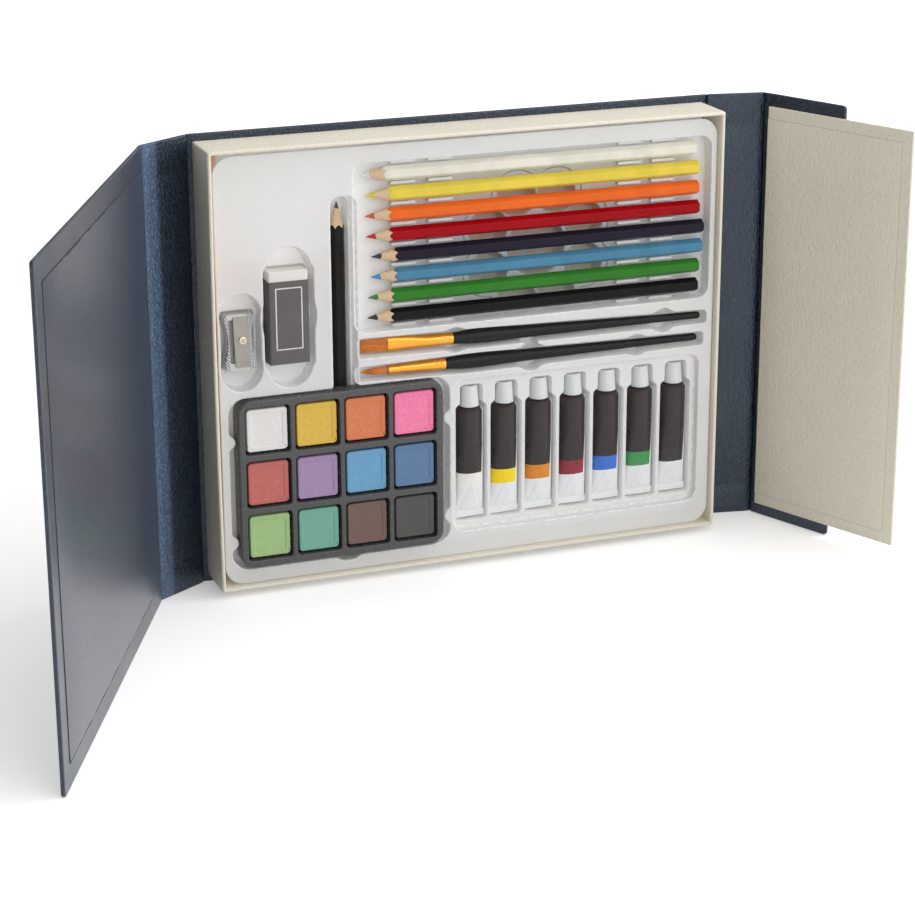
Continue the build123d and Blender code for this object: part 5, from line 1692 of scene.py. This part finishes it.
flat_handle_span = span("flat_brush_handle")
brush_depth = (flat_handle_span[4] + flat_handle_span[5]) / 2
brush_length = flat_ends[1][0] - flat_ends[0][0]
flat_frame = brush_frame(flat_ends, brush_depth)
round_frame = brush_frame(round_ends, brush_depth)
flat_hair, flat_ferrule = 14.0, 33.5
round_hair, round_ferrule = 15.5, 29.5
make_handle("flat_brush_handle", flat_frame, flat_hair + flat_ferrule, brush_length)
make_handle("round_brush_handle", round_frame, round_hair + round_ferrule, brush_length)
flat_stations = [
    (flat_hair, 3.70, 1.40), (flat_hair + 6, 3.52, 1.50), (flat_hair + 12, 3.30, 1.90),
    (flat_hair + 17, 3.08, 2.55), (flat_hair + 21, ferrule_r, 2.95),
    (flat_hair + flat_ferrule, ferrule_r, ferrule_r)
]
make_ferrule("flat_brush_ferrule", flat_frame, flat_stations)
round_stations = [(round_hair, 2.2, 2.2), (round_hair + round_ferrule, ferrule_r, ferrule_r)]
make_ferrule("round_brush_ferrule", round_frame, round_stations)
make_flat_hair(flat_frame, flat_hair)
make_round_hair(round_frame, round_hair)

# Eraser: a soft white block in a card sleeve
block_low, block_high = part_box("eraser")
block_size = (block_high - block_low) / mm
points, faces = rounded_box(block_size, 0.7, (6, 3, 10), 4)
wear_and_highlight = 0.05 * np.sin(points[:, 0] * 1.3 + 1.0) * np.sin(points[:, 2] * 0.9)
points[:, 2] += np.where(points[:, 2] > block_size.z / 2 - 1.2, wear_and_highlight, 0.0) - 0.05
new_piece(
    "eraser_block", points, faces, [vinyl], "eraser", ["eraser"], "eraser",
    Matrix.Translation((block_low + block_high) / 2)
)
sleeve_low, sleeve_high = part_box("eraser_sleeve")
sleeve_size = (sleeve_high - sleeve_low) / mm
card = 0.3
near_end = 0.3
going_up = [0.0, near_end, sleeve_size.z * 0.5, sleeve_size.z - near_end, sleeve_size.z]
going_down = [sleeve_size.z, sleeve_size.z - near_end, near_end, 0.0]
sleeve_rings = []
for inset, height in [*((0.0, h) for h in going_up), *((card, h) for h in going_down), (0.0, 0.0)]:
    outline = rounded_outline(sleeve_size.x - 2 * inset, sleeve_size.y - 2 * inset, 1.0 - inset, 8, 8)
    sleeve_rings.append([(x, y, height - sleeve_size.z / 2) for x, y in outline])
points, faces = loft(sleeve_rings)
sleeve_card = make_sleeve_card(6.4 * mm, -13.0 * mm, 17.0 * mm, 0.55 * mm)
new_piece(
    "eraser_sleeve_card", points, faces, [sleeve_card], "eraser", ["eraser_sleeve"], "eraser_sleeve",
    Matrix.Translation((sleeve_low + sleeve_high) / 2), crease=50
)

# Sharpener: the CAD body and blade with eased edges, and a cross-headed screw of its own
blade_low, blade_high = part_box("sharpener_blade")
body_low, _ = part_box("sharpener_body")
cast_metal = make_cast_metal(blade_low.x - 2.6 * mm, blade_high.x - 0.1 * mm, body_low.y + 4.0 * mm)
keep_node("sharpener_body", cast_metal, 0.25)
keep_node("sharpener_blade", ground_steel, 0.10)


def make_screw():
    """A domed head with a cross recess, on its shank."""
    screw_low, screw_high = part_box("sharpener_screw")
    head_r = (screw_high.x - screw_low.x) / 2 / mm
    head_t, shank_r, shank_length = 0.8, 1.2, 3.4
    # The sharpener's face falls by 3.3 mm over its length of 26.5 mm
    lean = math.atan2(3.3, 26.5)
    out = Vector((0, -math.cos(lean), math.sin(lean)))
    places = [v.co for v in frame["nodes"]["sharpener_screw"].data.vertices]
    top = max(place.dot(out) for place in places)
    middle = sum(places, Vector()) / len(places)
    centre = middle + out * (top - middle.dot(out))
    centre.x = (screw_low.x + screw_high.x) / 2
    where = axes(centre, (1, 0, 0), out.cross(Vector((1, 0, 0))))
    turn = math.radians(25)
    arm_half, arm_long, arm_deep = 0.24, 1.15, 0.5

    def arm(p, q):
        across = 1 / (1 + np.exp((np.abs(p) - arm_half) * 22))
        return across / (1 + np.exp((np.abs(q) - arm_long) * 14))

    angles = np.linspace(0, 2 * math.pi, 96, endpoint=False)
    rings = []
    for share in [*np.linspace(0.04, 0.94, 22), 0.97, 1.0]:
        r = share * head_r
        dome = -0.20 * share**2 - 0.18 * max(0.0, (share - 0.9) / 0.1) ** 2
        a, b = r * np.cos(angles - turn), r * np.sin(angles - turn)
        rings.append(hoop(angles, r, r, dome - arm_deep * np.maximum(arm(a, b), arm(b, a))))
    below = [(head_r, -head_t), (shank_r, -head_t), (shank_r, -head_t - shank_length)]
    rings += [hoop(angles, r, r, z) for r, z in below]
    points, faces = loft(rings, True, True, True)
    new_piece(
        "sharpener_screw_cross", points, faces, [brass], "sharpener", ["sharpener_screw"],
        "blade_steel", where, crease=60
    )


make_screw()

# Tubes: enamelled soft metal, round at the shoulder, pressed flat below and folded at the foot
band_colours = {
    "white": "#e9e7e2", "yellow": "#f0d213", "ochre": "#d98427", "red": "#8b2633", "blue": "#3a6fc8",
    "green": "#3e9152", "black": "#343131"
}
tube_r = 6.75
crimp_high = 3.5
crimp_half = (7.5, 0.8)
foot_wide = 7.35
foot_thick = 0.75
label_edge = 5.4
label_rise = (24.2, 58.8)
band_rise = (16.5, 24.2)


def make_tube(name, tilt):
    tube_span = span(f"tube_{name}")
    cap_span = span(f"cap_{name}")
    u = plan(*tube_span)[0]
    depth = (tube_span[4] + tube_span[5]) / 2
    where = axes(on_face(u, tube_span[2], depth), (1, 0, 0), (0, 1, 0))
    shoulder = cap_span[2] - tube_span[2] - 1.6
    sides = 96
    angles = np.linspace(0, 2 * math.pi, sides, endpoint=False)
    heights = np.concatenate(
        [np.linspace(crimp_high - 0.6, 12, 16), np.linspace(13, shoulder - 0.6, 26)]
    )
    phase = chance.uniform(0, 6, 4)
    rings = []
    for h in heights:
        rise = (h - crimp_high) / (shoulder - crimp_high)
        to_round = np.clip((h - crimp_high) / 36.0, 0, 1)
        wide = foot_wide + (tube_r - foot_wide) * np.clip(rise / 0.65, 0, 1)
        thick = foot_thick + (tube_r - foot_thick) * min(1.0, to_round**0.72 * 1.02)
        x, y = wide * np.cos(angles), thick * np.sin(angles)
        low_down = 1 - np.clip((h - 14) / 18, 0, 1)
        fold = 7.0 - 0.42 * (h - crimp_high)
        ridge = 0.30 * np.exp(-(((np.abs(x) - fold) / 0.8) ** 2)) * low_down
        fading = np.clip(1.4 - to_round, 0, 1)
        ripple = 0.10 * np.sin(x * 0.9 + phase[0]) * np.sin(h * 0.35 + phase[1]) * fading
        flatten = 0.20 * np.exp(-(((x + 1.5) / 2.2) ** 2)) * np.clip(1 - abs(h - 34) / 22, 0, 1)
        push = np.minimum(ridge + ripple + flatten, np.abs(y) * 0.6)
        y = y - np.sign(y) * push
        rings.append(np.stack([x, y, np.full(sides, h)], -1))
    top = [(tube_r, -0.3), (tube_r - 0.08, -0.08), (tube_r - 0.3, 0.05), (5.4, 0.75), (4.2, 1.3)]
    neck = [(2.95, 1.55), (2.9, 2.2), (2.9, 6.0)]
    rings += [hoop(angles, r, r, shoulder + rise) for r, rise in top + neck]
    body_shape = loft(rings, True, True, True)
    fold_size = (2 * crimp_half[0] + 0.2, 2 * crimp_half[1], crimp_high)
    fold_points, fold_faces = rounded_box(fold_size, 0.3, (10, 1, 3), 3)
    turn = math.radians(tilt)
    spun = fold_points.copy()
    spun[:, 0] = fold_points[:, 0] * math.cos(turn) - fold_points[:, 2] * math.sin(turn)
    spun[:, 2] = fold_points[:, 0] * math.sin(turn) + fold_points[:, 2] * math.cos(turn)
    spun[:, 1] += 0.12 * np.sin(spun[:, 0] * 0.55 + phase[2])
    spun[:, 2] += crimp_high / 2 + 0.12
    points, faces, _ = joined(body_shape, (spun, fold_faces))
    rises = [tuple(h * mm for h in rise) for rise in (label_rise, band_rise)]
    enamel = make_tube_enamel(name, band_colours[name], *rises, label_edge * mm)
    new_piece(
        f"tube_{name}_pressed", points, faces, [enamel], f"tube_{name}", [f"tube_{name}"],
        f"tube_{name}", where, crease=45
    )
    cap_r = (cap_span[1] - cap_span[0]) / 2
    cap_length = cap_span[3] - cap_span[2]
    top_r = cap_r - 0.8
    outer = [(cap_r - 0.12, 0.0), (cap_r, 0.15), (cap_r, 0.5), (top_r, cap_length - 0.7)]
    outer += [
        (top_r - 0.18, cap_length - 0.22), (top_r - 0.6, cap_length), (top_r - 1.3, cap_length - 0.05)
    ]
    outer += [(top_r - 1.5, cap_length - 0.35), (0.1, cap_length - 0.4)]
    inner = [(cap_r - 0.9, 0.0), (3.02, 0.35), (3.02, 4.9)]
    radii, along = zip(*reversed(inner), *outer)
    cap_points, cap_faces = loft(turned(along, radii, 64), True, True, True)
    cap_frame = axes(on_face(u, cap_span[2], depth), (1, 0, 0), (0, 1, 0))
    new_piece(
        f"cap_{name}_moulded", cap_points, cap_faces, [cap_plastic], f"cap_{name}", [f"cap_{name}"],
        "tube_cap", cap_frame, crease=50
    )


# Each foot is folded a little out of square, by these degrees
for name, tilt in zip(band_colours, (1.2, 0.5, 1.0, -0.6, 0.8, -0.4, 0.3)):
    make_tube(name, tilt)


# Floor, light and camera
def make_floor():
    """A matt white sweep. The camera sees it a little brighter than it is lit, so that it stays white
    and still takes the object's shadow."""
    material, add, coords = start_material("White_Studio_Floor")
    fine = add("TexNoise", {"Vector": coords, "Scale": 1 / 0.4, "Detail": 2.0})
    white = add("Mix", {0: fine, 6: "#f4f4f4", 7: "#f7f7f7"}, **colours_of)
    matt = add("BsdfDiffuse", {"Color": white})
    away = add("VectorMath", (coords,), operation="LENGTH")
    strength = add("MapRange", (away, 0.4, 1.6, 0.30, 0.70), **soft)
    lift = add("Emission", {"Color": (1, 1, 1, 1), "Strength": strength})
    both = add("AddShader", (matt, lift))
    path = add("LightPath").outputs
    seen = path["Is Camera Ray"]
    for ray in ("Is Glossy Ray", "Is Transmission Ray"):
        seen = add("Math", (seen, path[ray]), operation="MAXIMUM")
    add("OutputMaterial", {"Surface": add("MixShader", (seen, matt, both))})
    rings = turned([0, 0, 0, 0], [50, 400, 1500, 6000], 96)
    floor = new_piece("Studio_Floor", *loft(rings, True, True), [material], None)
    floor.location.z = -0.05 * mm


def area_light(name, place, target, size, power):
    light = bpy.data.lights.new(name, "AREA")
    light.shape = "RECTANGLE"
    light.size, light.size_y = size
    light.energy = power
    lamp = bpy.data.objects.new(name, light)
    turn = (Vector(target) - Vector(place)).to_track_quat("-Z", "Y").to_matrix().to_4x4()
    lamp.matrix_world = Matrix.Translation(place) @ turn
    bpy.context.scene.collection.objects.link(lamp)


room_light = 0.48


def light_world():
    """A white room: seen directly it is plain white, and it lights the object more gently."""
    world = bpy.data.worlds.new("Studio")
    world.use_nodes = True
    world.node_tree.nodes.clear()
    add = partial(add_node, world.node_tree)
    path = add("LightPath").outputs
    rays = (path["Is Camera Ray"], path["Is Transmission Ray"])
    seen = add("Math", rays, operation="MAXIMUM")
    strength = add("MapRange", {"Value": seen, "To Min": room_light, "To Max": 1.0})
    sky = add("Background", {"Color": (1, 1, 1, 1), "Strength": strength})
    add("OutputWorld", {"Surface": sky})
    bpy.context.scene.world = world


make_floor()
light_world()
look_at = Vector((0.0, -0.05, 0.11))
area_light("Key_From_The_Front", (0.55, -1.50, 0.95), look_at, (1.8, 1.5), 14.0)
area_light("Top_Soft_Box", (0.2, 0.1, 1.5), look_at, (1.4, 1.0), 6.0)
area_light("Side_Soft_Box", (1.35, -0.32, 0.85), look_at, (1.2, 1.2), 11.0)

# The camera stands where lines of the photograph meet: low, to the left, with a long lens
camera_turn = -20.549
camera_rise = 18.738
camera_roll = -0.216
camera_distance = 1273.6
camera_target = (0.40, -0.04, 52.27)
focal_pixels = 2507.7
image_width = 915
sensor = 36.0

camera_data = bpy.data.cameras.new("Photograph_View")
camera_data.sensor_width = sensor
camera_data.lens = focal_pixels * sensor / image_width
camera_data.clip_start = 0.01
camera_data.clip_end = 50
camera = bpy.data.objects.new("Photograph_View", camera_data)
bpy.context.scene.collection.objects.link(camera)
turn, rise, roll = (math.radians(a) for a in (camera_turn, camera_rise, camera_roll))
back = Vector((math.sin(turn) * math.cos(rise), -math.cos(turn) * math.cos(rise), math.sin(rise)))
right = Vector((math.cos(turn), math.sin(turn), 0))
up = back.cross(right)
rolled_right = math.cos(roll) * right + math.sin(roll) * up
rolled_up = -math.sin(roll) * right + math.cos(roll) * up
camera.matrix_world = Matrix(
    (
        (rolled_right.x, rolled_up.x, back.x, 0), (rolled_right.y, rolled_up.y, back.y, 0),
        (rolled_right.z, rolled_up.z, back.z, 0), (0, 0, 0, 1)
    )
)
camera.matrix_world.translation = (Vector(camera_target) + back * camera_distance) * mm
bpy.context.scene.camera = camera
bpy.context.scene.view_settings.view_transform = "Standard"
